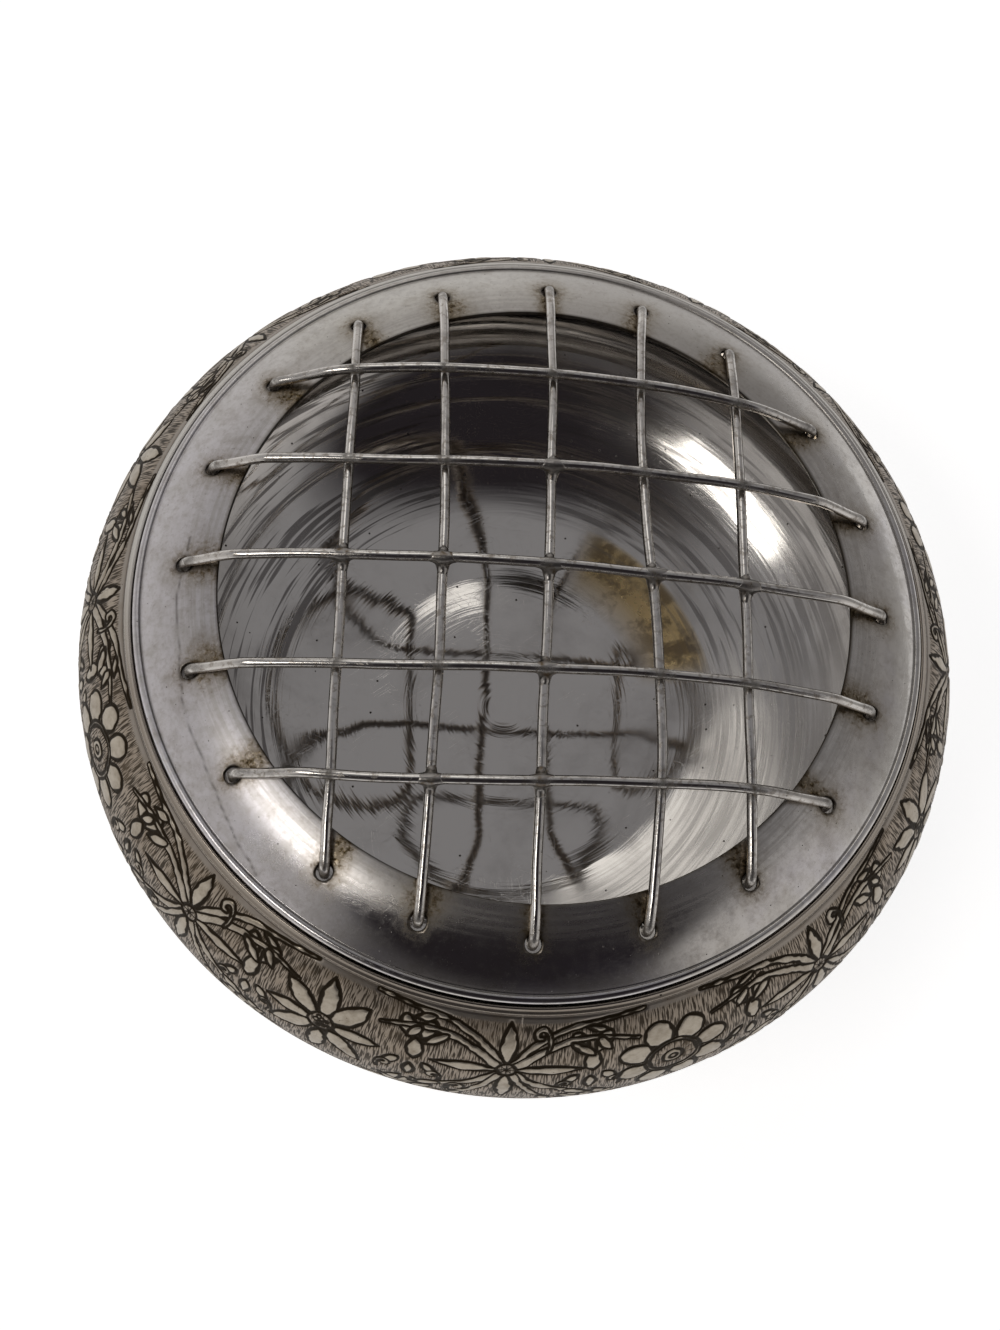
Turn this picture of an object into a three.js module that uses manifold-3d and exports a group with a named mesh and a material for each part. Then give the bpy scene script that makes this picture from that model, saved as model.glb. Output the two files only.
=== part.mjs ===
// Flower frog bowl. A squat round bowl of silver-plated sheet carries a lift-off cover, the frog.
// The cover is a domed shoulder ring round a wide opening, and ten arched wires cross over the
// opening as a grid that holds the stems of cut flowers. Millimetres, +Z up, table at Z = 0.
import * as THREE from 'three';
import { mergeVertices } from 'three/addons/utils/BufferGeometryUtils.js';
import Module from 'manifold-3d';

// Bowl body
const WIDEST_RADIUS = 65;
const WIDEST_HEIGHT = 30;
const BOWL_SHEET = 0.8;
const SIDE_CURVE_WIDTH = 24;
const SIDE_CURVE_RISE = 24.6;
const FLOOR_RADIUS = 22;
const FLOOR_HEIGHT = 4;

// Mouth of the bowl: an upright lip round a flat ledge that carries the cover
const MOUTH_INSET = 9.6;
const LIP_THICKNESS = 0.5;
const LIP_ROUND = 0.3;
const LIP_DEPTH = 0.6;
const LEDGE_WIDTH = 2.6;

// Foot ring, soldered under the body
const FOOT_RADIUS = 36;
const FOOT_NECK_RADIUS = 32.5;
const FOOT_RIM_HEIGHT = 0.9;
const FOOT_RIM_WIDTH = 1.8;
const FOOT_SHEET = 0.8;

// Cover: domed shoulder ring with a rolled bead on its outer edge
const COVER_SHEET = 0.8;
const SHOULDER_WIDTH = 11.05;
const SHOULDER_DROP = 5.8;
const SHOULDER_BULGE = 0.8;
const BEAD_RADIUS = 0.6;
const BEAD_RISE = 0.35;
const EDGE_ROUND = 0.25;

// Locating collar, soldered under the cover
const COLLAR_WALL = 0.6;
const COLLAR_DEPTH = 4.5;

// Wire grid
const WIRES_EACH_WAY = 5;
const WIRE_DIAMETER = 1.4;
const OUTER_WIRE_INSET = 15.5;
const ARCH_RISE = 5.7;
const WIRE_OVER_RIM = 0.5;
const HOLE_DIAMETER = 2.2;
const HOLE_INSET = 4.75;
const CROSS_LANDING = 3;
const UPPER_BEND = 1.1;
const LOWER_BEND = 1.1;
const TAIL_LENGTH = 1.5;
const TAIL_DROP = 0.2;

// Solder at the crossings
const SOLDER_REACH = 0.9;
const SOLDER_RISE = 0.55;

// Clearances
const SEAT_GAP = 0.3;
const COLLAR_CLEARANCE = 0.3;

// Facets
const TURNS = 48;
const SIDE_STEPS = 7;
const FLOOR_STEPS = 7;
const SHOULDER_STEPS = 5;
const BEAD_STEPS = 8;
const ARCH_STEPS = 15;
const UPPER_BEND_STEPS = 3;
const LOWER_BEND_STEPS = 2;
const HOLE_SIDES = 10;
const WIRE_QUARTER_SIDES = 2;
const ROD_SIDES = 8;
const SOLDER_DETAIL = 1;

// How each wire was bent by hand off its even place, in shares of the wires' spacing, seen
// along the wire: shift moves it sideways, lean tilts it, bow and sway bend it one or both ways
const CROSS_WIRES = [
  { shift: 0.05, lean: -0.05, bow: 0.114, sway: 0 },
  { shift: 0.064, lean: -0.057, bow: 0.014, sway: 0.036 },
  { shift: 0.029, lean: -0.043, bow: -0.014, sway: 0 },
  { shift: -0.021, lean: -0.007, bow: 0.007, sway: 0.029 },
  { shift: 0.007, lean: 0.014, bow: -0.064, sway: 0.036 },
];
const LONG_WIRES = [
  { shift: 0.086, lean: -0.014, bow: 0, sway: 0 },
  { shift: -0.05, lean: -0.029, bow: 0.079, sway: 0 },
  { shift: 0.036, lean: 0, bow: 0, sway: 0.014 },
  { shift: 0.057, lean: -0.036, bow: -0.021, sway: -0.086 },
  { shift: 0, lean: -0.057, bow: -0.036, sway: 0 },
];
const STRAIGHT_WIRE = { shift: 0, lean: 0, bow: 0, sway: 0 };

// Crossings that hold solder, named by their cross wire and their long wire, counted from 1
const SOLDERED_CROSSINGS = ['3_1', '3_2', '3_3', '3_4', '3_5', '2_3', '4_3', '5_2', '5_3'];

// Places that follow from the sizes
const mouthRadius = WIDEST_RADIUS - MOUTH_INSET;
const lipRadius = mouthRadius + LIP_THICKNESS;
const sideCentre = WIDEST_RADIUS - SIDE_CURVE_WIDTH;
const lipFootHeight = sideHeight(lipRadius);
const lipTop = lipFootHeight + LIP_ROUND;
const ledgeTop = lipTop - LIP_DEPTH;
const ledgeRadius = mouthRadius - LEDGE_WIDTH;
const beadCentreRadius = mouthRadius - SEAT_GAP - BEAD_RADIUS;
const beadCentreHeight = ledgeTop + SEAT_GAP + BEAD_RADIUS;
const openingRadius = beadCentreRadius - SHOULDER_WIDTH;
const rimHeight = beadCentreHeight + BEAD_RADIUS - BEAD_RISE + SHOULDER_DROP;
const collarRadius = ledgeRadius - COLLAR_CLEARANCE;
const collarBottom = ledgeTop - COLLAR_DEPTH;
const holeCircleRadius = openingRadius + HOLE_INSET;
const wirePitch = 2 * (openingRadius - OUTER_WIRE_INSET) / (WIRES_EACH_WAY - 1);
const wireStep = WIRE_DIAMETER + SEAT_GAP;
const longWireCrown = rimHeight + WIRE_OVER_RIM + WIRE_DIAMETER / 2 + ARCH_RISE;

const wasm = await Module();
wasm.setup();

// Height of the body's outer face above the widest line, at a radius
function sideHeight(radius) {
  const across = (radius - sideCentre) / SIDE_CURVE_WIDTH;
  return WIDEST_HEIGHT + SIDE_CURVE_RISE * Math.sqrt(1 - across * across);
}

// Height of the body's outer face under the widest line, at a radius
function undersideHeight(radius) {
  const across = Math.max(0, radius - FLOOR_RADIUS) / (WIDEST_RADIUS - FLOOR_RADIUS);
  return WIDEST_HEIGHT - (WIDEST_HEIGHT - FLOOR_HEIGHT) * Math.sqrt(1 - across * across);
}

// A point on the shoulder: u is 0 at the opening and 1 at the bead, depth is into the sheet
function shoulderPoint(u, depth) {
  const slope = (-SHOULDER_DROP + 4 * SHOULDER_BULGE * (1 - 2 * u)) / SHOULDER_WIDTH;
  const height = rimHeight - SHOULDER_DROP * u + 4 * SHOULDER_BULGE * u * (1 - u);
  const length = Math.hypot(slope, 1);
  const radius = openingRadius + SHOULDER_WIDTH * u;
  return new THREE.Vector2(radius + depth * slope / length, height - depth / length);
}

// Height of the shoulder's lower face at a radius, found by halving
function shoulderUnderside(radius) {
  let low = 0;
  let high = 1;
  for (let i = 0; i < 40; i++) {
    const u = (low + high) / 2;
    if (shoulderPoint(u, COVER_SHEET).x < radius) low = u;
    else high = u;
  }
  return shoulderPoint(low, COVER_SHEET).y;
}

// Centre line height of the long wires: a shallow dome over the opening
function domeHeight(radius) {
  return longWireCrown - ARCH_RISE * (radius / openingRadius) ** 2;
}

// Height of a wire's centre line at its holes, where it has come down to the shoulder
function landedHeight() {
  const shoulder = shoulderPoint((holeCircleRadius - openingRadius) / SHOULDER_WIDTH, 0);
  return shoulder.y + SEAT_GAP + WIRE_DIAMETER / 2;
}

// A quarter ellipse about a centre, from one angle to another, as profile points
function ellipseArc(centreRadius, centreHeight, width, rise, from, to, steps) {
  return Array.from({ length: steps + 1 }, (_, i) => {
    const angle = from + (to - from) * i / steps;
    return new THREE.Vector2(centreRadius + width * Math.cos(angle), centreHeight + rise * Math.sin(angle));
  });
}

// Revolves a profile of (radius, height) points about Z. The profile runs with the metal on its left.
function revolve(points) {
  const geometry = new THREE.LatheGeometry(points, TURNS);
  geometry.rotateX(Math.PI / 2);
  return geometry;
}

// Revolves a ring's profile, closing it on its first point
function revolveRing(points) {
  return revolve([...points, points[0].clone()]);
}

// Closed mesh to solid
function toSolid(geometry) {
  const bare = geometry.clone();
  bare.deleteAttribute('normal');
  bare.deleteAttribute('uv');
  const merged = mergeVertices(bare, 1e-4);
  const index = Array.from(merged.index.array);
  const corners = [];
  for (let i = 0; i < index.length; i += 3) {
    const [a, b, c] = index.slice(i, i + 3);
    if (a !== b && b !== c && c !== a) corners.push(a, b, c);
  }
  const mesh = new wasm.Mesh({
    numProp: 3,
    vertProperties: new Float32Array(merged.attributes.position.array),
    triVerts: new Uint32Array(corners),
  });
  return new wasm.Manifold(mesh);
}

// Solid to mesh
function toGeometry(solid) {
  const mesh = solid.getMesh();
  const geometry = new THREE.BufferGeometry();
  geometry.setAttribute('position', new THREE.BufferAttribute(new Float32Array(mesh.vertProperties), 3));
  geometry.setIndex(Array.from(mesh.triVerts));
  geometry.computeVertexNormals();
  return geometry;
}

// Body of the bowl: floor, rounded side, upright lip and the ledge inside it
function bowlShell() {
  const innerSideRise = SIDE_CURVE_RISE - BOWL_SHEET;
  const innerSideWidth = SIDE_CURVE_WIDTH - BOWL_SHEET;
  const floorWidth = WIDEST_RADIUS - FLOOR_RADIUS;
  const floorRise = WIDEST_HEIGHT - FLOOR_HEIGHT;
  const lipAngle = Math.acos((lipRadius - sideCentre) / SIDE_CURVE_WIDTH);
  const ledgeAngle = Math.asin((ledgeTop - BOWL_SHEET - WIDEST_HEIGHT) / innerSideRise);
  const outer = [
    new THREE.Vector2(0, FLOOR_HEIGHT),
    ...ellipseArc(FLOOR_RADIUS, WIDEST_HEIGHT, floorWidth, floorRise, -Math.PI / 2, 0, FLOOR_STEPS),
    ...ellipseArc(sideCentre, WIDEST_HEIGHT, SIDE_CURVE_WIDTH, SIDE_CURVE_RISE, 0, lipAngle, SIDE_STEPS).slice(1),
  ];
  const mouth = [
    new THREE.Vector2(lipRadius - LIP_ROUND / 2, lipTop),
    new THREE.Vector2(mouthRadius, lipTop),
    new THREE.Vector2(mouthRadius, ledgeTop),
    new THREE.Vector2(ledgeRadius, ledgeTop),
    new THREE.Vector2(ledgeRadius, ledgeTop - BOWL_SHEET),
  ];
  const inner = [
    ...ellipseArc(sideCentre, WIDEST_HEIGHT, innerSideWidth, innerSideRise, ledgeAngle, 0, SIDE_STEPS),
    ...ellipseArc(FLOOR_RADIUS, WIDEST_HEIGHT, floorWidth - BOWL_SHEET, floorRise - BOWL_SHEET,
      0, -Math.PI / 2, FLOOR_STEPS).slice(1),
    new THREE.Vector2(0, FLOOR_HEIGHT + BOWL_SHEET),
  ];
  return revolve([...outer, ...mouth, ...inner]);
}

// Flared foot ring: a turned rim on the table and a neck that seats under the body
function footRing() {
  const flare = FOOT_RADIUS - FOOT_NECK_RADIUS;
  const neckTop = undersideHeight(FOOT_NECK_RADIUS) - SEAT_GAP;
  const innerNeck = FOOT_NECK_RADIUS - FOOT_SHEET;
  const rise = neckTop - FOOT_RIM_HEIGHT;
  const outer = ellipseArc(FOOT_RADIUS, neckTop, flare, rise, -Math.PI / 2, -Math.PI, 4);
  const inner = ellipseArc(FOOT_RADIUS - FOOT_SHEET, neckTop, flare, rise + FOOT_SHEET / 2, -Math.PI, -Math.PI / 2, 4);
  inner[0].y = undersideHeight(innerNeck) - SEAT_GAP;
  return revolveRing([
    new THREE.Vector2(FOOT_RADIUS - FOOT_RIM_WIDTH, 0),
    new THREE.Vector2(FOOT_RADIUS, 0),
    ...outer,
    ...inner.slice(0, -2),
  ]);
}

// Domed shoulder ring with its rolled bead, pierced by the wires' holes
function coverShell(holes) {
  const top = Array.from({ length: SHOULDER_STEPS + 1 }, (_, i) => shoulderPoint(i / SHOULDER_STEPS, 0));
  const under = Array.from({ length: SHOULDER_STEPS + 1 }, (_, i) => shoulderPoint(1 - i / SHOULDER_STEPS, COVER_SHEET));
  const edge = top.shift();
  const rounded = [
    new THREE.Vector2(edge.x, edge.y - EDGE_ROUND),
    new THREE.Vector2(edge.x + EDGE_ROUND, edge.y),
  ];
  const sheet = toSolid(revolveRing([...under, ...rounded, ...top].reverse()));
  const beadTurn = ellipseArc(beadCentreRadius, beadCentreHeight, BEAD_RADIUS, BEAD_RADIUS, 0, 2 * Math.PI, BEAD_STEPS);
  const bead = toSolid(revolveRing(beadTurn.slice(0, -1)));
  let shell = sheet.add(bead);
  for (const hole of holes) {
    const drill = new THREE.CylinderGeometry(HOLE_DIAMETER / 2, HOLE_DIAMETER / 2, 4 * SHOULDER_DROP, HOLE_SIDES);
    drill.rotateX(Math.PI / 2);
    drill.translate(hole.x, hole.y, rimHeight);
    shell = shell.subtract(toSolid(drill));
  }
  return toGeometry(shell);
}

// Plain ring under the cover that drops inside the ledge
function coverCollar() {
  const innerRadius = collarRadius - COLLAR_WALL;
  return revolveRing([
    new THREE.Vector2(innerRadius, collarBottom),
    new THREE.Vector2(collarRadius, collarBottom),
    new THREE.Vector2(collarRadius, shoulderUnderside(collarRadius) - SEAT_GAP),
    new THREE.Vector2(innerRadius, shoulderUnderside(innerRadius) - SEAT_GAP),
  ]);
}

// One wire's plan: where it lies sideways, and where its two holes are along it
function wirePlan(along, index, bend) {
  const middle = (index - (WIRES_EACH_WAY - 1) / 2 + bend.shift) * wirePitch;
  const lean = bend.lean * wirePitch;
  const reach = (side) => Math.sqrt(holeCircleRadius ** 2 - (middle + side * lean) ** 2);
  const ends = { low: -reach(-1), high: reach(1) };
  const sideways = (s) => {
    const u = s / (s < 0 ? -ends.low : ends.high);
    const bends = bend.bow * (1 - u * u) + bend.sway * Math.sin(Math.PI * u);
    return middle + lean * u + bends * wirePitch;
  };
  const place = (s, z) => (along === 'x'
    ? new THREE.Vector3(s, sideways(s), z)
    : new THREE.Vector3(sideways(s), s, z));
  const rise = along === 'x' ? wireStep : 0;
  const landingStart = openingRadius - (along === 'x' ? CROSS_LANDING : 0);
  const fall = rise + domeHeight(holeCircleRadius) - landedHeight();
  const archHeight = (s) => {
    const radius = Math.hypot(s, sideways(s));
    const share = THREE.MathUtils.smoothstep(radius, landingStart, holeCircleRadius);
    return rise + domeHeight(radius) - fall * share;
  };
  return { ends, place, archHeight };
}

// A curve made of stretches, each with its own number of steps
class WireCurve extends THREE.Curve {
  constructor(stretches) {
    super();
    this.stretches = stretches;
    this.steps = stretches.reduce((sum, stretch) => sum + stretch.steps, 0);
  }

  getPoint(t, target = new THREE.Vector3()) {
    let step = t * this.steps;
    for (const stretch of this.stretches) {
      if (step <= stretch.steps) return target.copy(stretch.at(step / stretch.steps));
      step -= stretch.steps;
    }
    return target.copy(this.stretches.at(-1).at(1));
  }

  getUtoTmapping(u) {
    return u;
  }
}

// One end of a wire, from the arch down through its hole to the bent-over tail
function endStretches(plan, side) {
  const hole = side < 0 ? plan.ends.low : plan.ends.high;
  const archEnd = hole - side * UPPER_BEND;
  const inner = archEnd - side * UPPER_BEND;
  const slope = (plan.archHeight(archEnd) - plan.archHeight(inner)) / UPPER_BEND;
  const corner = plan.archHeight(archEnd) + slope * UPPER_BEND;
  const below = corner - UPPER_BEND;
  const turn = shoulderUnderside(holeCircleRadius) - TAIL_DROP;
  const tail = hole - side * LOWER_BEND;
  const upper = new THREE.QuadraticBezierCurve3(
    plan.place(archEnd, plan.archHeight(archEnd)), plan.place(hole, corner), plan.place(hole, below));
  const lower = (v) => {
    const angle = v * Math.PI / 2;
    return plan.place(tail + side * LOWER_BEND * Math.cos(angle), turn - LOWER_BEND * Math.sin(angle));
  };
  return [
    { steps: UPPER_BEND_STEPS, at: (v) => upper.getPoint(v) },
    { steps: 1, at: (v) => plan.place(hole, below + (turn - below) * v) },
    { steps: LOWER_BEND_STEPS, at: lower },
    { steps: 1, at: (v) => plan.place(tail - side * TAIL_LENGTH * v, turn - LOWER_BEND) },
  ];
}

// Turns stretches end for end
function reversed(stretches) {
  return stretches.map(({ steps, at }) => ({ steps, at: (v) => at(1 - v) })).reverse();
}

// Round wire along its plan
function wire(plan) {
  const from = plan.ends.low + UPPER_BEND;
  const to = plan.ends.high - UPPER_BEND;
  const arch = {
    steps: ARCH_STEPS,
    at: (v) => {
      const s = from + (to - from) * (1 - Math.cos(Math.PI * v)) / 2;
      return plan.place(s, plan.archHeight(s));
    },
  };
  const curve = new WireCurve([...reversed(endStretches(plan, -1)), arch, ...endStretches(plan, 1)]);
  const section = new THREE.Shape().absarc(0, 0, WIRE_DIAMETER / 2, 0, 2 * Math.PI, false);
  return new THREE.ExtrudeGeometry(section, {
    steps: curve.steps,
    extrudePath: curve,
    curveSegments: 2 * WIRE_QUARTER_SIDES,
  });
}

// The point where a cross wire passes over a long wire
function crossing(crossPlan, longPlan) {
  const point = new THREE.Vector3();
  for (let i = 0; i < 20; i++) {
    point.x = longPlan.place(point.y, 0).x;
    point.y = crossPlan.place(point.x, 0).y;
  }
  return point;
}

// A straight rod along a wire at a crossing, a gap larger than the wire all round
function wireRod(plan, s) {
  const reach = 4 * WIRE_DIAMETER;
  const before = plan.place(s - reach, plan.archHeight(s - reach));
  const after = plan.place(s + reach, plan.archHeight(s + reach));
  const middle = plan.place(s, plan.archHeight(s));
  const radius = WIRE_DIAMETER / 2 + SEAT_GAP;
  const rod = new THREE.CylinderGeometry(radius, radius, 2 * reach, ROD_SIDES);
  const heading = after.sub(before).normalize();
  rod.applyQuaternion(new THREE.Quaternion().setFromUnitVectors(new THREE.Vector3(0, 1, 0), heading));
  rod.translate(middle.x, middle.y, middle.z);
  return toSolid(rod);
}

// Solder that fills the four corners between two crossed wires
function solderJoint(crossPlan, longPlan) {
  const point = crossing(crossPlan, longPlan);
  const lower = longPlan.archHeight(point.y);
  const upper = crossPlan.archHeight(point.x);
  const spread = WIRE_DIAMETER / 2 + SEAT_GAP + SOLDER_REACH;
  const blob = new THREE.IcosahedronGeometry(1, SOLDER_DETAIL);
  blob.scale(spread, spread, wireStep / 2 + SOLDER_RISE);
  blob.translate(point.x, point.y, (lower + upper) / 2);
  const joint = toSolid(blob).subtract(wireRod(longPlan, point.y)).subtract(wireRod(crossPlan, point.x));
  return toGeometry(joint);
}

// Finishes
function finish(color, roughness) {
  return new THREE.MeshStandardMaterial({ color, roughness, metalness: 1 });
}

function named(name, geometry, color, roughness) {
  const mesh = new THREE.Mesh(geometry, finish(color, roughness));
  mesh.name = name;
  return mesh;
}

const crossPlans = Array.from({ length: WIRES_EACH_WAY }, (_, i) => (
  wirePlan('x', WIRES_EACH_WAY - 1 - i, CROSS_WIRES[i] ?? STRAIGHT_WIRE)));
const longPlans = Array.from({ length: WIRES_EACH_WAY }, (_, i) => (
  wirePlan('y', i, LONG_WIRES[i] ?? STRAIGHT_WIRE)));
const holes = [...crossPlans, ...longPlans].flatMap((plan) => (
  [plan.place(plan.ends.low, 0), plan.place(plan.ends.high, 0)]));

const bowl = new THREE.Group();
bowl.add(named('bowl_shell', bowlShell(), 0xa39a8f, 0.32));
bowl.add(named('foot_ring', footRing(), 0xa8a096, 0.3));

const cover = new THREE.Group();
cover.add(named('cover_shell', coverShell(holes), 0xb3aca4, 0.22));
cover.add(named('cover_collar', coverCollar(), 0x8f8a84, 0.35));
crossPlans.forEach((plan, i) => cover.add(named(`cross_wire_${i + 1}`, wire(plan), 0xc0b9b2, 0.24)));
longPlans.forEach((plan, i) => cover.add(named(`long_wire_${i + 1}`, wire(plan), 0xb8b0a8, 0.26)));
for (const name of SOLDERED_CROSSINGS) {
  const [i, j] = name.split('_').map(Number);
  if (i > WIRES_EACH_WAY || j > WIRES_EACH_WAY) continue;
  const joint = solderJoint(crossPlans[i - 1], longPlans[j - 1]);
  cover.add(named(`solder_${name}`, joint, 0x8d857b, 0.45));
}

const flowerFrogBowl = new THREE.Group();
flowerFrogBowl.add(bowl, cover);

export default flowerFrogBowl;
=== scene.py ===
"""A flower frog bowl in worn silver plate, dressed over its packed frame."""
from types import SimpleNamespace

import bpy
import numpy as np
from mathutils import Matrix, Vector


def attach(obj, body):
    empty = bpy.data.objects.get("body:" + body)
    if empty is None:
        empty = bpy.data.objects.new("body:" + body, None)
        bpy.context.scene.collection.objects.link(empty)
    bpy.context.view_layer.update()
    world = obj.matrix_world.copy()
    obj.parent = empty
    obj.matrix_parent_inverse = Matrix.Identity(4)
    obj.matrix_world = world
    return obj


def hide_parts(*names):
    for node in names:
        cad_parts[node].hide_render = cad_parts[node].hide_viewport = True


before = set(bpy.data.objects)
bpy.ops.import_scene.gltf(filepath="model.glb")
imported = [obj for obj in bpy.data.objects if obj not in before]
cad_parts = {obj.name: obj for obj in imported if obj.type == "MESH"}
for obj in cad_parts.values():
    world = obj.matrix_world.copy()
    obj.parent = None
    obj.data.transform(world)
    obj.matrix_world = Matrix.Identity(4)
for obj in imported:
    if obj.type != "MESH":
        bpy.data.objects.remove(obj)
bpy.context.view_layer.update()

bl_info = {
    "name": "Flower frog bowl",
    "version": (1, 0, 0),
    "blender": (4, 5, 0),
    "location": "View3D > Sidebar > Frog Bowl",
    "description": "Engraved silver plated bowl with a wire flower frog in its cover",
    "category": "Add Mesh",
}

MM = 0.001


def number(name, description, default, **kind):
    """A number, plain unless its kind is given."""
    return bpy.props.FloatProperty(name=name, description=description, default=default, **kind)


def length(name, description, default):
    """A length in metres."""
    return number(name, description, default, unit="LENGTH", precision=5)


def share(name, description, default):
    """A share from 0 to 1."""
    return number(name, description, default, min=0.0, max=1.0, subtype="FACTOR")


def angle(name, description, degrees):
    """An angle, given in degrees."""
    return number(name, description, float(np.radians(degrees)), subtype="ANGLE")


def tint(name, description, default):
    """A colour, in linear light."""
    return bpy.props.FloatVectorProperty(
        name=name, description=description, default=default, size=3, min=0.0, max=1.0,
        subtype="COLOR")


class BowlSizes(bpy.types.PropertyGroup):
    """Sizes of the spun bowl."""

    widest_radius: length("Widest radius", "From the axis to the widest point", 0.065)
    widest_height: length("Widest height", "Height of the widest point", 0.030)
    side_width: length("Side width", "How far in the upper side curves", 0.024)
    side_rise: length("Side rise", "Half height of the upper side's ellipse", 0.0246)
    sheet: length("Sheet", "Thickness of the bowl's metal", 0.0008)
    floor_radius: length("Floor radius", "Radius of the flat floor", 0.022)
    floor_height: length("Floor height", "Underside of the floor", 0.004)
    lip_radius: length("Lip radius", "Outside of the mouth's lip", 0.0559)
    mouth_radius: length("Mouth radius", "Inside of the mouth's lip", 0.0554)
    lip_top: length("Lip top", "Height of the lip", 0.049585)
    ledge_top: length("Ledge top", "Height of the ledge that carries the cover", 0.048985)
    ledge_radius: length("Ledge radius", "Inner edge of the ledge", 0.0528)


class BandSizes(bpy.types.PropertyGroup):
    """Sizes of the engraved band, measured down the side from the lip."""

    top: length("Top", "Where the engraved band starts", 0.0008)
    bottom: length("Bottom", "Where the engraved band ends", 0.0242)
    recess: length("Recess", "How deep the band's plates sit in the bowl", 0.00032)
    cut_width: length("Cut width", "Width of the engraved outlines", 0.00050)
    cut_depth: length("Cut depth", "Depth of the engraved outlines", 0.00015)
    ground_depth: length("Ground depth", "How far the hatched ground is sunk", 0.00004)
    petal_rise: length("Petal rise", "How far petals stand above the ground", 0.00005)
    column_step: length("Column step", "Spacing of the grid round the band", 0.000181)


class FootSizes(bpy.types.PropertyGroup):
    """Sizes of the foot ring."""

    radius: length("Radius", "Outside of the foot", 0.036)
    neck_radius: length("Neck radius", "Where the foot meets the bowl", 0.0325)
    neck_top: length("Neck top", "Height where the foot meets the bowl", 0.00449)
    rim_height: length("Rim height", "Thickness of the turned foot rim", 0.0009)
    rim_width: length("Rim width", "Width of the flat that the bowl stands on", 0.0018)
    sheet: length("Sheet", "Thickness of the foot's metal", 0.0008)


class CoverSizes(bpy.types.PropertyGroup):
    """Sizes of the cover."""

    opening_radius: length("Opening radius", "Edge of the round opening", 0.04345)
    shoulder_width: length("Shoulder width", "From the opening to the bead", 0.01105)
    rim_height: length("Rim height", "Height of the opening's edge", 0.05593)
    drop: length("Drop", "How far the shoulder falls to the bead", 0.0058)
    bulge: length("Bulge", "How far the shoulder is rounded", 0.0008)
    sheet: length("Sheet", "Thickness of the cover's metal", 0.0008)
    bead_radius: length("Bead radius", "Radius of the rolled bead", 0.00072)
    bead_height: length("Bead height", "Height of the bead's middle", 0.049825)
    collar_radius: length("Collar radius", "Outside of the collar", 0.0525)
    collar_wall: length("Collar wall", "Thickness of the collar", 0.0006)
    collar_bottom: length("Collar bottom", "Lowest point of the collar", 0.044485)
    hole_circle: length("Hole circle", "Radius on which the wire holes lie", 0.0482)
    hole_diameter: length("Hole diameter", "Diameter of a wire hole", 0.0022)


class WireSizes(bpy.types.PropertyGroup):
    """Sizes of the frog's wires."""

    diameter: length("Diameter", "Thickness of the wire", 0.0014)
    pitch: length("Pitch", "Even spacing of the wires", 0.01398)
    crown: length("Crown", "Height of the long wires' middle over the axis", 0.06272)
    arch_rise: length("Arch rise", "How far a wire falls from the middle to the opening", 0.0057)
    cross_rise: length("Cross rise", "How far the cross wires lie above the long ones", 0.0017)
    landing: length("Landing", "How far inside the opening a cross wire comes down", 0.003)
    seat: length("Seat", "Gap between a wire and the shoulder at its hole", 0.0003)
    upper_bend: length("Upper bend", "Size of the bend above a hole", 0.0011)
    lower_bend: length("Lower bend", "Size of the bend under the cover", 0.0011)
    tail: length("Tail", "Length of the bent-over end", 0.0015)
    tail_drop: length("Tail drop", "Where the lower bend starts under the cover", 0.0002)
    solder_reach: length("Solder reach", "How far solder runs along a wire", 0.0022)
    solder_fill: length("Solder fill", "Roundness of the solder in a corner", 0.0019)


class SilverLooks(bpy.types.PropertyGroup):
    """Colours of the worn silver plate, some also used for painted shade and painted reflection
    streaks.
    """

    silver: tint("Silver", "Polished silver plate", (0.70, 0.67, 0.635))
    # Dull silver is also the colour of the painted shade on the far right shoulder and over the
    # lamp's reflection on the inner wall
    dull: tint("Dull silver", "Greyed silver plate", (0.46, 0.435, 0.41))
    worn: tint("Worn silver", "Petals rubbed bright on the band", (0.50, 0.44, 0.355))
    # Tarnish is also the colour of the painted shade on the wires' undersides and on the lip beside
    # the seam
    tarnish_and_shade: tint("Tarnish", "Brown tarnish", (0.17, 0.122, 0.074))
    ground: tint("Ground", "Tarnish on the band's hatched ground", (0.32, 0.235, 0.15))
    # Groove is also the colour of the painted shade round the holes, by the bead, on the opening's
    # edge and under the bead
    groove: tint("Groove", "Dirt and tarnish in a cut", (0.030, 0.021, 0.012))
    # Painted reflection: the dark streaks that stand for the room mirrored in the inner wall's
    # lathe rings
    reflection_streak_grey: tint("Reflection streaks", "Grey streaks on the inner wall", (0.17, 0.155, 0.15))
    yellowing: tint("Yellowing", "Yellow stain left by water", (0.33, 0.235, 0.10))
    lilac: tint("Lilac", "Thin lilac tarnish film", (0.66, 0.635, 0.665))
    pewtery: tint("Pewtery silver", "Matte film on the far shoulder", (0.62, 0.595, 0.555))
    gold: tint("Golden stain", "Golden tide mark on the bowl's floor", (0.64, 0.46, 0.19))
    solder: tint("Solder", "Grey solder", (0.36, 0.34, 0.32))
    polish: share("Polish", "Roughness of polished places", 0.04)
    wear: share("Wear", "Roughness of worn places", 0.34)


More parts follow.
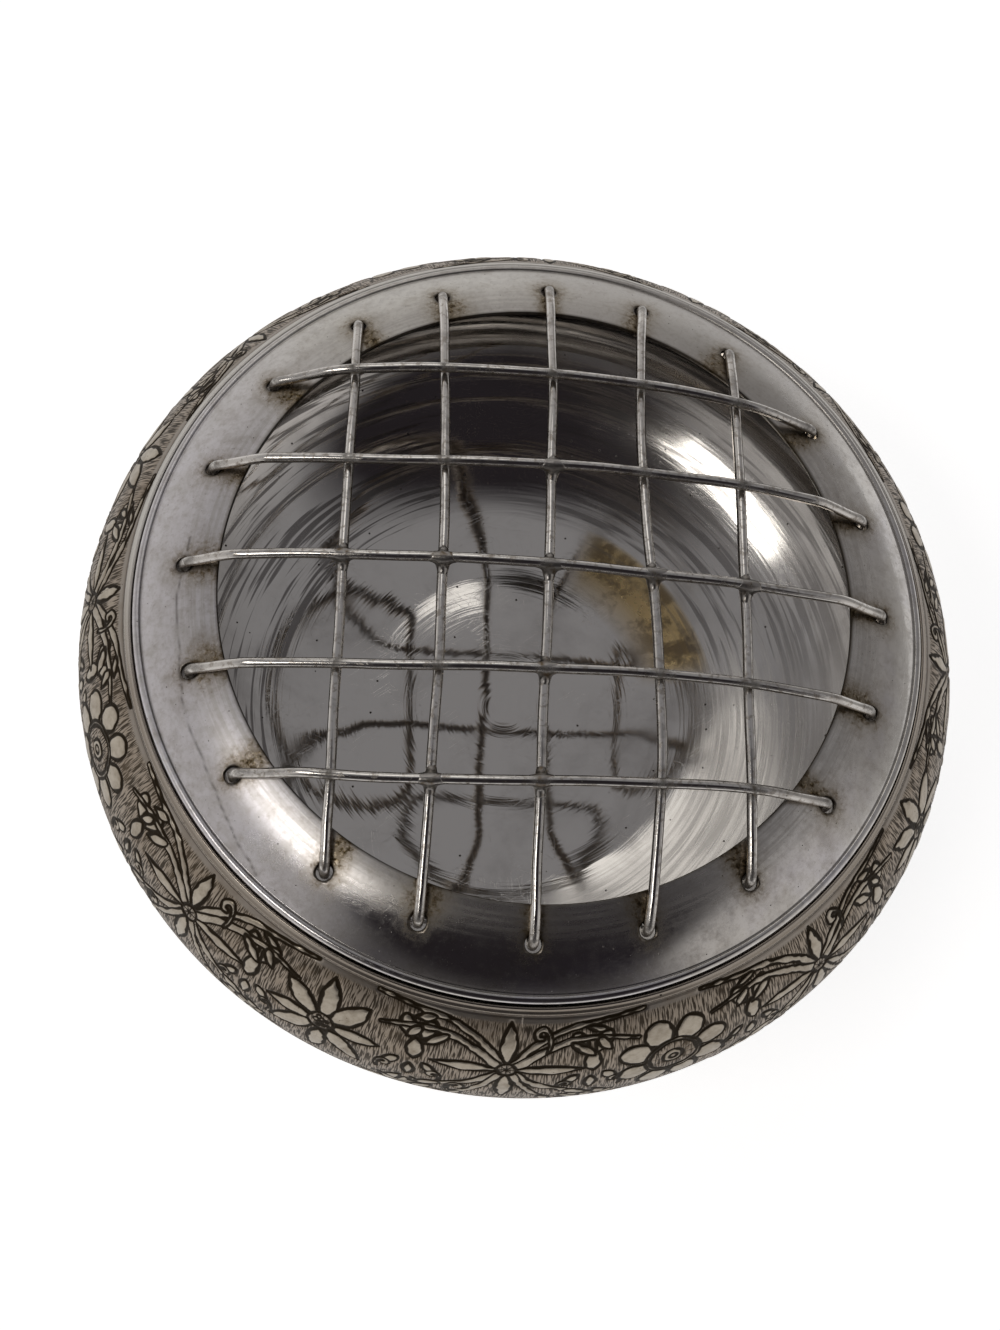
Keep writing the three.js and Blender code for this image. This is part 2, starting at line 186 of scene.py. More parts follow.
class StudioSettings(bpy.types.PropertyGroup):
    """The camera, the floor and the lights."""

    aim: bpy.props.FloatVectorProperty(
        name="Aim", description="Point that the camera looks at", size=3, unit="LENGTH",
        default=(-0.00244, -0.00240, 0.030))
    tilt: angle("Tilt", "Camera's height angle above the table", 69.39)
    roll: angle("Roll", "Camera's turn about its own line of sight", 15.33)
    turn: angle("Turn", "Camera's way round the bowl", 12.64)
    distance: length("Distance", "From the aim to the camera", 0.25047)
    lens: number("Lens", "Focal length in mm on a 36 mm sensor", 45.08)
    floor_white: share("Floor white", "Brightness of the floor", 0.86)
    floor_lift: share("Floor lift", "Light that the floor itself adds in sight", 0.74)
    mirrored_floor: share("Mirrored floor", "Share of that light that the metal mirrors", 0.55)
    window_power: number("Window power", "Power of the large soft lamp in watts", 1.25)
    fill_power: number("Fill power", "Power of the far soft lamp in watts", 0.42)
    horizon: tint("Horizon", "Colour of the room at table height", (0.74, 0.73, 0.715))
    walls: tint("Walls", "Colour of the room above the table", (0.53, 0.515, 0.505))
    zenith: tint("Zenith", "Colour of the room overhead", (0.248, 0.246, 0.256))
    shade: tint("Shade", "Colour of the dark cloths in the room", (0.020, 0.017, 0.020))
    dimmer: share("Dimmer", "Strength of the room's light", 1.0)


# Values and lines

def ramp(value, start, width):
    """0 before the start and 1 from a width past it. A width below 0 falls instead."""
    return np.clip((value - start) / width, 0, 1)


def bell(value, middle, width):
    """1 at the middle, and less the further the value is from it."""
    return np.exp(-((value - middle) / width) ** 2)


def wander(reach, size, waves, seed):
    """A smooth wandering value: a sum of sines with seeded phases."""
    chance = np.random.default_rng(seed)
    value = sum(np.sin(reach * 2 * np.pi / wave + chance.uniform(0, 2 * np.pi)) for wave in waves)
    return size * value / np.sqrt(len(waves))


def beside(*parts):
    """Coordinates side by side in the last axis, the shorter ones repeated."""
    return np.stack(np.broadcast_arrays(*parts), axis=-1)


def unit(vectors):
    """The vectors at length one."""
    return vectors / np.linalg.norm(vectors, axis=-1, keepdims=True)


def way_of(degrees):
    """The direction at an angle."""
    turn = np.radians(degrees)
    return np.array([np.cos(turn), np.sin(turn)])


def square_to(run):
    """Unit vectors a quarter turn from runs of radius and height."""
    run = unit(run)
    return beside(-run[..., 1], run[..., 0])


def along(line):
    """How far along a line each of its points lies."""
    return np.append(0, np.cumsum(np.linalg.norm(np.diff(line, axis=0), axis=1)))


def read_at(line, reach):
    """The points at given distances along a line."""
    known = along(line)
    return beside(*(np.interp(reach, known, part) for part in line.T))


def spaced(line, step):
    """The same line with its points moved apart to even steps along it."""
    whole = along(line)[-1]
    return read_at(line, np.linspace(0, whole, max(2, int(round(whole / step)) + 1)))


def ellipse_line(centre, width, height, start, end, steps):
    """Points on an ellipse: centre plus width times cosine and height times sine."""
    t = np.radians(np.linspace(start, end, steps))
    return beside(centre[0] + width * np.cos(t), centre[1] + height * np.sin(t))


def from_corner(corner, *steps):
    """Points at steps of radius and height from a corner."""
    return np.array(corner) + np.array(steps)


# Grids and meshes

def grid_faces(rows, columns, wrap_rows=False, wrap_columns=False):
    """Four-cornered faces between neighbours of a grid numbered row by row."""
    row = np.arange(rows if wrap_rows else rows - 1)[:, None]
    column = np.arange(columns if wrap_columns else columns - 1)
    near, far = row * columns, (row + 1) % rows * columns
    right = (column + 1) % columns
    return beside(near + column, near + right, far + right, far + column).reshape(-1, 4)


def fan_faces(ring, pole):
    """Triangles between each pair of neighbours on a closed ring and one pole point."""
    return beside(ring, np.roll(ring, -1), pole)


def tube_faces(rings, sides):
    """Faces of rings of points with a pole point at each end."""
    first = np.arange(sides)
    return [grid_faces(rings, sides, wrap_columns=True), fan_faces(first[::-1], rings * sides),
            fan_faces(first + (rings - 1) * sides, rings * sides + 1)]


def turned(profile, turns):
    """A profile of radius and height swept round the axis: rows go round, columns along it."""
    t = np.linspace(0, 2 * np.pi, turns, endpoint=False)[:, None]
    radius, height = profile.T
    return beside(radius * np.cos(t), radius * np.sin(t), height)


def turned_ring(profile, turns):
    """A closed profile swept round the axis, as points and faces."""
    return turned(profile, turns).reshape(-1, 3), [grid_faces(turns, len(profile), True, True)]


def turned_vessel(profile, turns):
    """A profile from axis to axis swept round it, its two ends closed in fans."""
    columns = len(profile) - 2
    poles = np.array([[0, 0, profile[0, 1]], [0, 0, profile[-1, 1]]])
    points = np.concatenate([turned(profile[1:-1], turns).reshape(-1, 3), poles])
    first = np.arange(turns) * columns
    return points, [grid_faces(turns, columns, wrap_rows=True),
                    fan_faces(first, len(points) - 2),
                    fan_faces(first[::-1] + columns - 1, len(points) - 1)]


def enclosed_volume(points, faces):
    """Six times the volume inside closed faces: each face's triangles with the origin."""
    total = 0.0
    for block in faces:
        for k in range(1, block.shape[1] - 1):
            turn = np.cross(points[block[:, k]], points[block[:, k + 1]])
            total += np.sum(points[block[:, 0]] * turn)
    return total


def new_piece(name, points, faces, material, body, slot, replaced, marks=None, flat_blocks=()):
    """A closed mesh from points in mm and blocks of faces, riding on a body of the frame.

    The blocks are turned so that the faces look outwards. Marks are named values per point.
    """
    if enclosed_volume(points, faces) < 0:
        faces = [block[:, ::-1] for block in faces]
    corners = np.concatenate([block.ravel() for block in faces]).astype(np.int32)
    counts = np.concatenate([np.full(len(block), block.shape[1]) for block in faces])
    rounded = np.concatenate(
        [np.full(len(block), k not in flat_blocks) for k, block in enumerate(faces)])
    mesh = bpy.data.meshes.new(name)
    mesh.vertices.add(len(points))
    mesh.vertices.foreach_set("co", (points * MM).astype(np.float32).ravel())
    mesh.loops.add(len(corners))
    mesh.loops.foreach_set("vertex_index", corners)
    mesh.polygons.add(len(counts))
    mesh.polygons.foreach_set("loop_start", (np.cumsum(counts) - counts).astype(np.int32))
    mesh.polygons.foreach_set("use_smooth", rounded)
    for mark, values in (marks or {}).items():
        kind, field = ("FLOAT", "value") if values.ndim == 1 else ("FLOAT_VECTOR", "vector")
        layer = mesh.attributes.new(mark, kind, "POINT")
        layer.data.foreach_set(field, values.astype(np.float32).ravel())
    mesh.update(calc_edges=True)
    if mesh.validate():
        raise RuntimeError(f"{name} has broken faces")
    mesh.materials.append(material)
    piece = bpy.data.objects.new(name, mesh)
    bpy.context.scene.collection.objects.link(piece)
    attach(piece, body)
    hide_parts(*replaced)


# Where wear, painted reflection streaks and painted shade lie: the degrees round the axis of its
# middle, the cosine from there at which it starts, how much that cosine grows until it is full, and
# for some kinds radii at which they start and how far out, or below 0 how far in, they are full,
# both in mm
WEAR_STREAKS_AND_SHADE = {
    "wall": (165, 0.2, 0.4), "rubbed": (-6, 0.74, 0.15, (53, -4)), "sheen": (48, 0.7, 0.2),
    "yellow": (40, 0.88, 0.05, (23, 6), (35.4, -0.8)), "lip": (100, -0.1, 0.4),
    "haze": (-38, 0.6, 0.25), "lighter groove shade": (105, 0.1, 0.5), "matte": (128, 0.08, 0.4),
    "film": (190, 0.5, 0.35), "smoky": (62, 0.8, 0.15),
}


def wear(name, points):
    """How far one kind of wear, painted streaks or painted shade reaches each point, from the
    point's place seen from above.
    """
    middle, start, width, *fades = WEAR_STREAKS_AND_SHADE[name]
    x, y = points[:, :2].T
    amount = ramp(np.cos(np.arctan2(y, x) - np.radians(middle)), start, width)
    for start, width in fades:
        amount = amount * ramp(np.hypot(x, y), start, width)
    return amount


# Shapes of the bowl, all in mm

# Spacing of the bowl's rings outside and inside, and how far below the band the plain ones start
OUTSIDE_STEP, INSIDE_STEP, BELOW_BAND = 0.9, 0.8, 0.3
# Radius from which the inner wall's wear, painted reflection streaks and painted shade start and
# over what width they grow, how far above the widest line the lip's film starts, and how far down
# the lip its strip of tarnish and painted shade reaches
WALL_START, WALL_WIDTH, FILM_START, STRIP_REACH = 30, 6, 16, 1.6

def bowl_line(s, thin, top_radius, steps):
    """The bowl's side from a radius at its top to the floor's edge, moved in by a thickness.

    The upper side is part of an ellipse round a centre at the widest height, and the lower side
    a quarter of a taller one that runs out level at the floor.
    """
    centre, width = s.widest_radius - s.side_width, s.side_width - thin
    start = np.degrees(np.arccos((top_radius - centre) / width))
    side = ellipse_line((centre, s.widest_height), width, s.side_rise - thin, start, 0, steps[0])
    lower = ellipse_line((s.floor_radius, s.widest_height), s.widest_radius - s.floor_radius - thin,
                         s.widest_height - s.floor_height - thin, 0, -90, steps[1])
    return np.concatenate([side, lower[1:]])


def bowl_outside(s):
    """The bowl's outer line from the lip down."""
    return bowl_line(s, 0.0, s.lip_radius, (120, 160))


def along_side(line, down):
    """Points on a line at given distances from its start, with the outward normal there."""
    run = read_at(line, down + 0.05) - read_at(line, down - 0.05)
    return read_at(line, down), square_to(run)


def bowl_profile(s, band):
    """The bowl's whole section: underside, side with the band's recess, lip, ledge and inside."""
    outer = bowl_outside(s)
    seat, normal = along_side(outer, np.linspace(band.top, band.bottom, 60))
    above = read_at(outer, np.linspace(0.06, band.top, 4))
    below = outer[along(outer) > band.bottom + BELOW_BAND]
    below = spaced(np.concatenate([read_at(outer, [band.bottom]), below]), OUTSIDE_STEP)
    under_ledge = s.ledge_top - s.sheet
    inner = bowl_line(s, s.sheet, s.ledge_radius, (70, 110))
    inner = spaced(inner[inner[:, 1] < under_ledge - 0.25], INSIDE_STEP)
    return np.concatenate([
        beside(np.linspace(0, s.floor_radius, 14), s.floor_height),
        below[::-1][1:], (seat - normal * band.recess)[::-1], above[::-1],
        from_corner((s.lip_radius, s.lip_top), (0, -0.22), (-0.04, -0.10), (-0.13, -0.02),
                    (-0.25, 0)),
        from_corner((s.mouth_radius, s.lip_top), (0.12, -0.02), (0.03, -0.1)),
        from_corner((s.mouth_radius, s.ledge_top), (0, 0.1), (-0.1, 0)),
        from_corner((s.ledge_radius, s.ledge_top), (0.15, 0), (0, -0.12)),
        from_corner((s.ledge_radius, under_ledge), (0, 0.1), (0.1, 0), (0.9, 0)),
        inner, beside(np.linspace(s.floor_radius, 0, 14)[1:], s.floor_height + s.sheet)])


def bowl_marks(s, points):
    """Where the wall has painted reflection streaks or is rubbed, glossy, hazy with painted shade,
    or yellowed, and the lip matte or tarnished with painted shade.
    """
    radius, height = np.hypot(points[:, 0], points[:, 1]), points[:, 2]
    out = (radius - s.floor_radius) / (s.widest_radius - s.floor_radius)
    down = (s.widest_height - height) / (s.widest_height - s.floor_height)
    within = (np.hypot(out, down) < 0.99) * (down > 0)
    low = within * ramp(radius, WALL_START, WALL_WIDTH)
    marks = {name: low * wear(name, points) for name in ("sheen", "haze", "rubbed")}
    # Painted reflection streaks on the inner wall
    marks["wall"] = low * (0.4 + 0.6 * wear("wall", points))
    marks["yellow"] = within * wear("yellow", points)
    marks["lip"] = (height > s.widest_height + FILM_START) * wear("lip", points)
    # Tarnish and painted shade on the lip's outer top beside the seam
    marks["strip"] = (height > s.lip_top - STRIP_REACH) * (radius > s.mouth_radius + 0.05)
    return marks


# The engraving, drawn flat: x round the band and y down the side, both in mm

# The flowers round the band: kind, mm round from the left, mm down from the lip
FLOWERS = (
    ("star", 0.5, 9.6), ("rosette", 22.6, 11.9), ("star", 50.5, 10.4), ("daisy", 74.4, 11.7),
    ("star", 100.8, 11.0), ("rosette", 124.6, 12.7), ("star", 149.4, 10.7), ("daisy", 176.0, 11.0),
    ("star", 201.0, 10.2), ("rosette", 225.5, 11.6), ("star", 253.0, 10.4), ("daisy", 279.0, 11.4),
    ("star", 305.0, 10.8), ("rosette", 330.5, 12.2), ("star", 357.5, 10.4), ("daisy", 383.8, 11.4),
)

# A curled tendril from its root to its round head
TENDRIL = np.array([(0.9, 4.4), (1.2, 2.6), (0.9, 1.0), (0.0, 0.2), (-0.8, 0.7), (-0.7, 1.6),
                    (-0.1, 1.7)])
LINE_POINTS = 26


def smooth_line(points):
    """A smooth line through a few points: cubic spans whose slopes are set by the neighbours."""
    p = np.asarray(points, float)
    ends = np.concatenate([[2 * p[0] - p[1]], p, [2 * p[-1] - p[-2]]])
    t = np.linspace(0, len(p) - 1, LINE_POINTS)
    k = np.minimum(t.astype(int), len(p) - 2)
    f = (t - k)[:, None]
    a, b, c, d = ends[k], ends[k + 1], ends[k + 2], ends[k + 3]
    return 0.5 * (2 * b + (c - a) * f + (2 * a - 5 * b + 4 * c - d) * f**2
                  + (3 * b - 3 * c + d - a) * f**3)


class Engraving:
    """The marks on one plate's grid: how deep it is cut, how bright it is left, how far domed."""

    def __init__(self, x, y, band):
        self.x, self.y, self.band = x, y, band
        self.top = band.top + 0.7
        self.cut, self.bright, self.dome = np.zeros((3, len(y), len(x)))
        self.stray = self.unsteadiness()

    def unsteadiness(self):
        """How far the hand strays, in mm: a sum of waves that run in many directions."""
        chance = np.random.default_rng(8)
        x, y = np.meshgrid(self.x, self.y)
        total = np.zeros_like(x)
        for wave in (1.3, 1.7, 2.3, 3.1, 4.0, 5.3):
            turn, phase = chance.uniform(0, np.pi), chance.uniform(0, 2 * np.pi)
            across = x * np.cos(turn) + y * np.sin(turn)
            total += wave**0.5 * np.sin(2 * np.pi / wave * across + phase)
        return 0.022 * total

    def reach(self, line, widths, margin):
        """The part of the grid round a line, and how far its points are from the line's edge.

        Each point takes the nearest of the line's straight steps, measured square to the step,
        less the line's half width there.
        """
        low, high = line.min(axis=0) - margin, line.max(axis=0) + margin
        columns = slice(*np.searchsorted(self.x, [low[0], high[0]]))
        rows = slice(*np.searchsorted(self.y, [low[1], high[1]]))
        x, y = np.meshgrid(self.x[columns], self.y[rows])
        best = np.full(x.shape, 1e9)
        steps = zip(line[:-1], line[1:], widths[:-1], widths[1:]) if x.size else ()
        for (ax, ay), (bx, by), wa, wb in steps:
            dx, dy = bx - ax, by - ay
            t = np.clip(((x - ax) * dx + (y - ay) * dy) / (dx * dx + dy * dy + 1e-12), 0, 1)
            away = np.hypot(x - ax - t * dx, y - ay - t * dy) - (wa + (wb - wa) * t)
            best = np.minimum(best, away)
        return (rows, columns), best

    def leaf(self, line, widths, outline=1.0, shine=1.0, pen=1.0):
        """A petal, stem or leaf: bright and domed inside, with a cut round its edge."""
        here, away = self.reach(line, widths, np.max(widths) + 1.2)
        stray = self.stray[here]
        away = away + stray
        inside = ramp(away, 0.11, -0.22)
        edge = bell(away, 0, pen * self.band.cut_width * (0.62 + 1.6 * stray))
        swell = np.sqrt(ramp(away, 0, -max(np.max(widths), 0.3)))
        self.bright[here] = self.bright[here] * (1 - inside) + shine * inside
        self.cut[here] = np.maximum(self.cut[here] * (1 - inside), outline * edge)
        self.dome[here] = self.dome[here] * (1 - inside) + swell * inside * shine

    def ray(self, centre, heading, start, end, width, depth):
        """A straight cut away from a centre that swells in the middle of its run."""
        way = way_of(heading)
        line = centre + way * start + way * (end - start) * np.linspace(0, 1, 22)[:, None]
        widths = width * (0.35 + 0.65 * np.sin(np.pi * np.linspace(0.04, 0.96, 22)))
        here, away = self.reach(line, widths, width + 1.0)
        self.cut[here] = np.maximum(self.cut[here], depth * ramp(away, 0.1, -0.2))

    def disc(self, centre, radius, outline=1.0, shine=1.0):
        """A round spot."""
        self.leaf(np.array([centre, centre + (0.01, 0.0)]), np.full(2, radius), outline, shine)

    def petal(self, centre, heading, start, end, width, fullest=0.5, curl=0.0):
        """A pointed petal away from a centre, in degrees from rightwards, positive down."""
        t = np.linspace(0, 1, 16)
        turn = np.radians(heading + curl * (t - 0.3))
        reach = (start + (end - start) * t)[:, None]
        widths = width * np.sin(np.pi * t ** (np.log(0.5) / np.log(fullest)))
        self.leaf(centre + reach * beside(np.cos(turn), np.sin(turn)), widths)

    def stem(self, points, root, tip):
        """A stem cut as two lines that close at its tip."""
        self.leaf(smooth_line(points), np.linspace(root, tip, LINE_POINTS), shine=0.9, pen=0.74)

    def hook(self, place, side, size=1.0):
        """A small curled tendril with a round head."""
        t = np.linspace(0, 1, LINE_POINTS)
        widths = size * np.interp(t, (0, 0.55, 0.8, 1), (0.2, 0.42, 0.55, 0.4))
        self.leaf(smooth_line(place + TENDRIL * (side * size, size)), widths, shine=0.9, pen=0.8)

    def sweeping_stems(self, centre, side, chance):
        """The stems that leave a star on one side: two high ones and two low, with leaves."""
        lift = centre[1] - self.top
        nudge = chance.uniform(-0.3, 0.3, 6)
        for root, tip, *points in (
                (0.72, 0.24, (1.0, -1.4), (3.6, -0.52 * lift + nudge[0]), (8.2, -0.83 * lift),
                 (13.5, -0.93 * lift), (20.0 + nudge[1], -lift - 0.1)),
                (0.76, 0.26, (1.5, -1.0), (5.0, -0.42 * lift), (9.5, -0.62 * lift + nudge[2]),
                 (14.0, -0.62 * lift), (18.6, -0.5 * lift)),
                (0.76, 0.26, (1.3, 1.2), (4.6, 4.2), (8.0, 6.2 + nudge[3]), (12.0, 9.4),
                 (15.6, 12.4)),
                (0.62, 0.24, (1.0, 1.5), (3.2, 5.6), (5.6, 9.0), (9.4, 12.6))):
            self.stem(centre + np.array(points) * (side, 1), root, tip)
        for x, y, lean, start, end, width, fullest in (
                (8.4, 6.4, 58 + 6 * nudge[4], 0.2, 4.4, 0.85, 0.45),
                (8.6, -0.60 * lift, 52, 0.3, 4.6, 0.8, 0.45),
                (12.6, -0.66 * lift, 36, 0.3, 3.4, 0.7, 0.45),
                (10.8, -0.86 * lift, 74, 0.3, 3.6, 0.55, 0.4),
                (5.4, 9.0, 20, 0.3, 4.4, 0.8, 0.45)):
            self.petal(centre + (side * x, y), 90 - side * lean, start, end, width, fullest)

    def star(self, centre, chance):
        """A star flower: four long petals round a crossed eye, over its sweeping stems."""
        lift = centre[1] - self.top
        for side in (-1, 1):
            self.sweeping_stems(centre, side, chance)
        self.hook(centre + (4.6, 1.3 - lift), 1)
        self.hook(centre + (-6.4, 5.6), -1, 0.9)
        for heading, end, width in ((180, 10.8, 0.98), (0, 10.8, 0.98), (-90, 0.94 * lift, 1.12),
                                    (90, 9.2, 1.15)):
            lean = heading + chance.uniform(-2.5, 2.5)
            self.petal(centre, lean, 1.0, end + chance.uniform(-0.3, 0.3), width, 0.48)
        self.disc(centre, 1.35, shine=0.35)
        for heading in (0, 45, 90, 135):
            self.ray(centre, heading, -1.2, 1.2, 0.13, 0.8)

    def rosette(self, centre, chance):
        """A rosette: eight round petals round a double ring with a bright eye."""
        swing = chance.uniform(-6, 6)
        widths = np.interp(np.linspace(0, 1, 8), (0, 0.6, 1), (1.7, 2.1, 1.95))
        for k in range(8):
            heading = 45 * k + 22.5 + swing
            line = centre + np.linspace(5.3, 6.5, 8)[:, None] * way_of(heading)
            self.leaf(line, widths * chance.uniform(0.92, 1.06))
            self.ray(centre, heading, 4.3, 5.4, 0.07, 0.5)
        self.disc(centre, 4.15, shine=0.75)
        self.disc(centre, 3.5, shine=0.0)
        for k in range(12):
            self.ray(centre, 30 * k + swing, 1.8, 3.3, 0.09, 0.7)
        self.disc(centre, 1.5)
        self.disc(centre, 0.55, shine=0.6)

    def daisy(self, centre, chance):
        """A daisy with eight pointed petals round a hatched eye."""
        high = min(9.0, 0.93 * (centre[1] - self.top))
        for heading, end, width in ((180, 8.6, 1.2), (0, 8.6, 1.2), (-90, high, 1.5),
                                    (90, 9.2, 1.25), (-137, 8.6, 1.5), (-43, 8.8, 1.65),
                                    (137, 9.2, 1.5), (43, 9.2, 1.5)):
            lean = heading + chance.uniform(-3, 3)
            self.petal(centre, lean, 1.5, end, width, 0.46, curl=chance.uniform(-8, 8))
            self.ray(centre, lean, 2.4, 0.55 * end, 0.07, 0.45)
        self.disc(centre, 1.9, shine=0.15)
        for k in range(9):
            turn = 2.4 * k
            spot = centre + 0.42 * np.sqrt(k) * np.array([np.cos(turn), np.sin(turn)])
            self.disc(spot, 0.24, 0.8, shine=0.7)

    def sprig(self, middle, chance):
        """Between two flowers: buds and curls, and leaves that rise from the lower border."""
        for side in (-1, 1):
            lean = 24 + chance.uniform(-5, 5)
            self.petal(middle + (side * 0.5, -1.6), -90 + side * lean, 0.3, 4.6, 1.15, 0.6)
            self.petal(middle + (side * 1.5, 2.6), 90 - side * 40, 0.4, 3.4, 0.75)
            self.hook(middle + (side * 3.6, 4.6), side, 0.75)
            self.petal(middle + (side * 0.6, 8.0), 90 - side * 26, 0.4, 4.6, 0.95, 0.6)
        self.petal(middle + (0.0, -2.6), 90 + chance.uniform(-6, 6), 0.2, 4.8, 1.15)
        self.petal(middle + (0.0, 3.4), 90, 0.2, 3.8, 0.8)
        foot = np.array([middle[0], self.band.bottom - 0.6])
        for side in (-1, 1):
            self.petal(foot + (side * 0.6, 0.2), -90 + side * 38, 0.2, 5.2, 0.9, 0.45)
            self.petal(foot + (side * 1.0, 0.4), -90 + side * 68, 0.2, 6.0, 0.7, 0.45)
        self.petal(foot, -90, 0.3, 4.6, 0.95, 0.45)

    def draw(self, girth):
        """Draws what lies between the flowers, each kind of flower, and the border lines."""
        ahead = [x for _, x, _ in FLOWERS[1:]] + [FLOWERS[0][1] + girth]
        laps = (-girth, 0.0, girth)
        for lap in laps:
            for k, (_, x, _) in enumerate(FLOWERS):
                middle = np.array([(x + ahead[k]) / 2 + lap, 9.6])
                self.sprig(middle, np.random.default_rng(100 + k))
        for flower in (self.star, self.rosette, self.daisy):
            for lap in laps:
                for k, (kind, x, y) in enumerate(FLOWERS):
                    if kind == flower.__name__:
                        flower(np.array([x + lap, y]), np.random.default_rng(300 + k))
        for y, width in ((self.band.top + 0.25, 0.10), (self.band.bottom - 0.35, 0.16),
                         (self.band.bottom - 0.95, 0.1)):
            self.cut = np.maximum(self.cut, 0.8 * bell(self.y, y, width)[:, None])


def band_plates(s, band):
    """The engraved band as four closed plates that fill its recess, with their marks.

    A plate's front is the bowl's side sunk by the cut, the ground and the petals' doming. Its
    back is the same side sunk by the recess, and strips close its four edges. The back has few
    steps from top to bottom, and the front divides each of them finely.
    """
    girth = 2 * np.pi * s.widest_radius
    back_steps, fine = 12, 12
    rows = back_steps * fine + 1
    y = np.linspace(band.top, band.bottom, rows)
    place, normal = along_side(bowl_outside(s), y)
    for quarter in range(4):
        start, end = girth * quarter / 4, girth * (quarter + 1) / 4
        columns = int(round((end - start) / band.column_step)) + 1
        x = np.linspace(start, end, columns)
        turn = x / s.widest_radius - np.pi
        plate = Engraving(x, y, band)
        plate.draw(girth)

        def sunk(every, depth):
            radius, height = (place[::every, k:k + 1] - normal[::every, k:k + 1] * depth
                              for k in range(2))
            return beside(radius * np.cos(turn), radius * np.sin(turn), height).reshape(-1, 3)

        depth = (band.cut_depth * plate.cut + band.ground_depth * (1 - plate.bright)
                 + band.petal_rise * (1 - plate.dome))
        depth = depth * ramp(np.minimum(y - band.top, band.bottom - y), 0, 0.25)[:, None]
        points = np.concatenate([sunk(1, depth), sunk(fine, band.recess - 0.02)])
        behind = rows * columns
        step = np.arange(columns - 1)
        low, low_back = (rows - 1) * columns + step, behind + back_steps * columns + step
        lips = [beside(step + 1, step, behind + step, behind + step + 1),
                beside(low, low + 1, low_back + 1, low_back)]
        row, block = np.arange(rows - 1), np.arange(back_steps)
        back = behind + block * columns
        ends = np.concatenate([
            beside(row * columns, (row + 1) * columns, behind + row // fine * columns),
            beside((block + 1) * fine * columns, back + columns, back)])
        faces = [grid_faces(rows, columns), grid_faces(back_steps + 1, columns)[:, ::-1] + behind,
                 np.concatenate(lips), np.concatenate([ends, ends[:, ::-1] + columns - 1])]
        unmarked = np.zeros((len(points) - behind, 3))
        yield points, faces, {
            "cut": np.append(plate.cut, unmarked[:, 0]),
            "bright": np.append(plate.bright, unmarked[:, 0]),
            "band_place": np.concatenate([beside(x, y[:, None], 0.0).reshape(-1, 3), unmarked])}


# Shapes of the foot, all in mm

def foot_profile(foot):
    """The foot ring's closed section: a flat turned rim, a flared wall and a neck at the bowl."""
    rim, flared = foot.rim_height, foot.radius - 0.9
    base = foot.radius - foot.rim_width
    t = np.linspace(0, 1, 14)
    flare = beside(flared - (flared - foot.neck_radius) * t**0.6, rim + (foot.neck_top - rim) * t)
    return np.concatenate([
        from_corner((foot.radius, 0.0), (-foot.rim_width, 0), (-0.25, 0), (-0.07, 0.07), (0, 0.25)),
        from_corner((foot.radius, rim), (0, -0.3), (-0.08, -0.08), (-0.3, 0)), flare,
        (flare - (foot.sheet, 0))[:0:-1], [[base - 0.2, rim], [base - 0.1, 0.2]]])


# Shapes of the cover, all in mm

# Shares of the shoulder's width between which its sheet runs
SHEET_START, SHEET_END = 0.016, 0.972
# The groove beside the bead, and how far in the opening's edge is rounded
GROOVE_DEPTH, GROOVE_WIDTH, EDGE_ROUND = 0.06, 0.16, 0.16
# A stain at a hole: how far outwards it ends and over what width, and how far inwards it runs
STAIN_END, STAIN_WIDTH, STAIN_RUN = 1.2, 2.4, 9.0
# The reach of the spot round a hole, and the radius and width of the ring of painted shade there
SPOT_REACH, SHADE_RING_RADIUS, SHADE_RING_WIDTH = 2.1, 1.0, 0.42
# How far past the opening the brushed metal ends, and over what width
BRUSHED_END, BRUSHED_WIDTH = 6.6, 4.0
# How much the collar's edges are bevelled, and the gap between its top and the shoulder
BEVEL, COLLAR_GAP = 0.12, 0.32


def shoulder_line(cover, u):
    """The shoulder's top from the opening, at u of 0, to the bead, at u of 1, and its normal.

    The radius grows evenly with u. The height falls evenly and is rounded up by four times the
    bulge times u times one less u.
    """
    line = beside(cover.opening_radius + cover.shoulder_width * u,
                  cover.rim_height - cover.drop * u + 4 * cover.bulge * u * (1 - u))
    run = beside(cover.shoulder_width, -cover.drop + 4 * cover.bulge * (1 - 2 * u))
    return line, square_to(run)


def punched_grid(line, turns, holes, hole_radius, block=8, ring=3):
    """A turned sheet whose grid is bent round its holes.

    Seen from above, a place is a complex number. Round each hole the square rings of the grid
    are drawn in, from the outermost, which stays, to the one that becomes the hole's circle.
    The faces inside that one are left out.
    """
    rows = len(line)
    step = 2 * np.pi / turns
    place = line[:, 0] * np.exp(1j * step * np.arange(turns))[:, None]
    gone = np.zeros(place.shape, bool)
    across, inward = np.mgrid[-block:block + 1, -block:block + 1]
    level = np.maximum(np.abs(across), np.abs(inward))
    to_edge = np.where(level > 0, block / np.maximum(level, 1), 1.0)
    kept = np.clip((level - ring) / (block - ring), 0, 1)
    side = np.arange(-ring, ring)
    whole = np.full(2 * ring, ring)
    round_x, round_y = np.concatenate(
        [(whole, side), (-side, whole), (-whole, -side), (side, -whole)], axis=1)
    rings = []
    for centre in holes @ (1, 1j):
        far = abs(centre)
        column = int(round(np.angle(centre) / step))
        row = int(np.argmin(np.abs(line[:, 0] - far)))
        edge = (np.interp(row + inward * to_edge, np.arange(rows), line[:, 0])
                * np.exp(1j * step * (column + across * to_edge)))
        spoke = inward * abs(line[row + 1, 0] - line[row, 0]) + 1j * across * far * step
        circle = centre + hole_radius * spoke / np.maximum(abs(spoke), 1e-9) * centre / far
        here = (column + across) % turns, row + inward
        place[here] = (1 - kept) * circle + kept * edge
        gone[here] |= level < ring
        rings.append((column + round_x) % turns * rows + row + round_y)
    height = np.interp(abs(place), *line.T)
    return beside(place.real, place.imag, height), gone, np.array(rings)


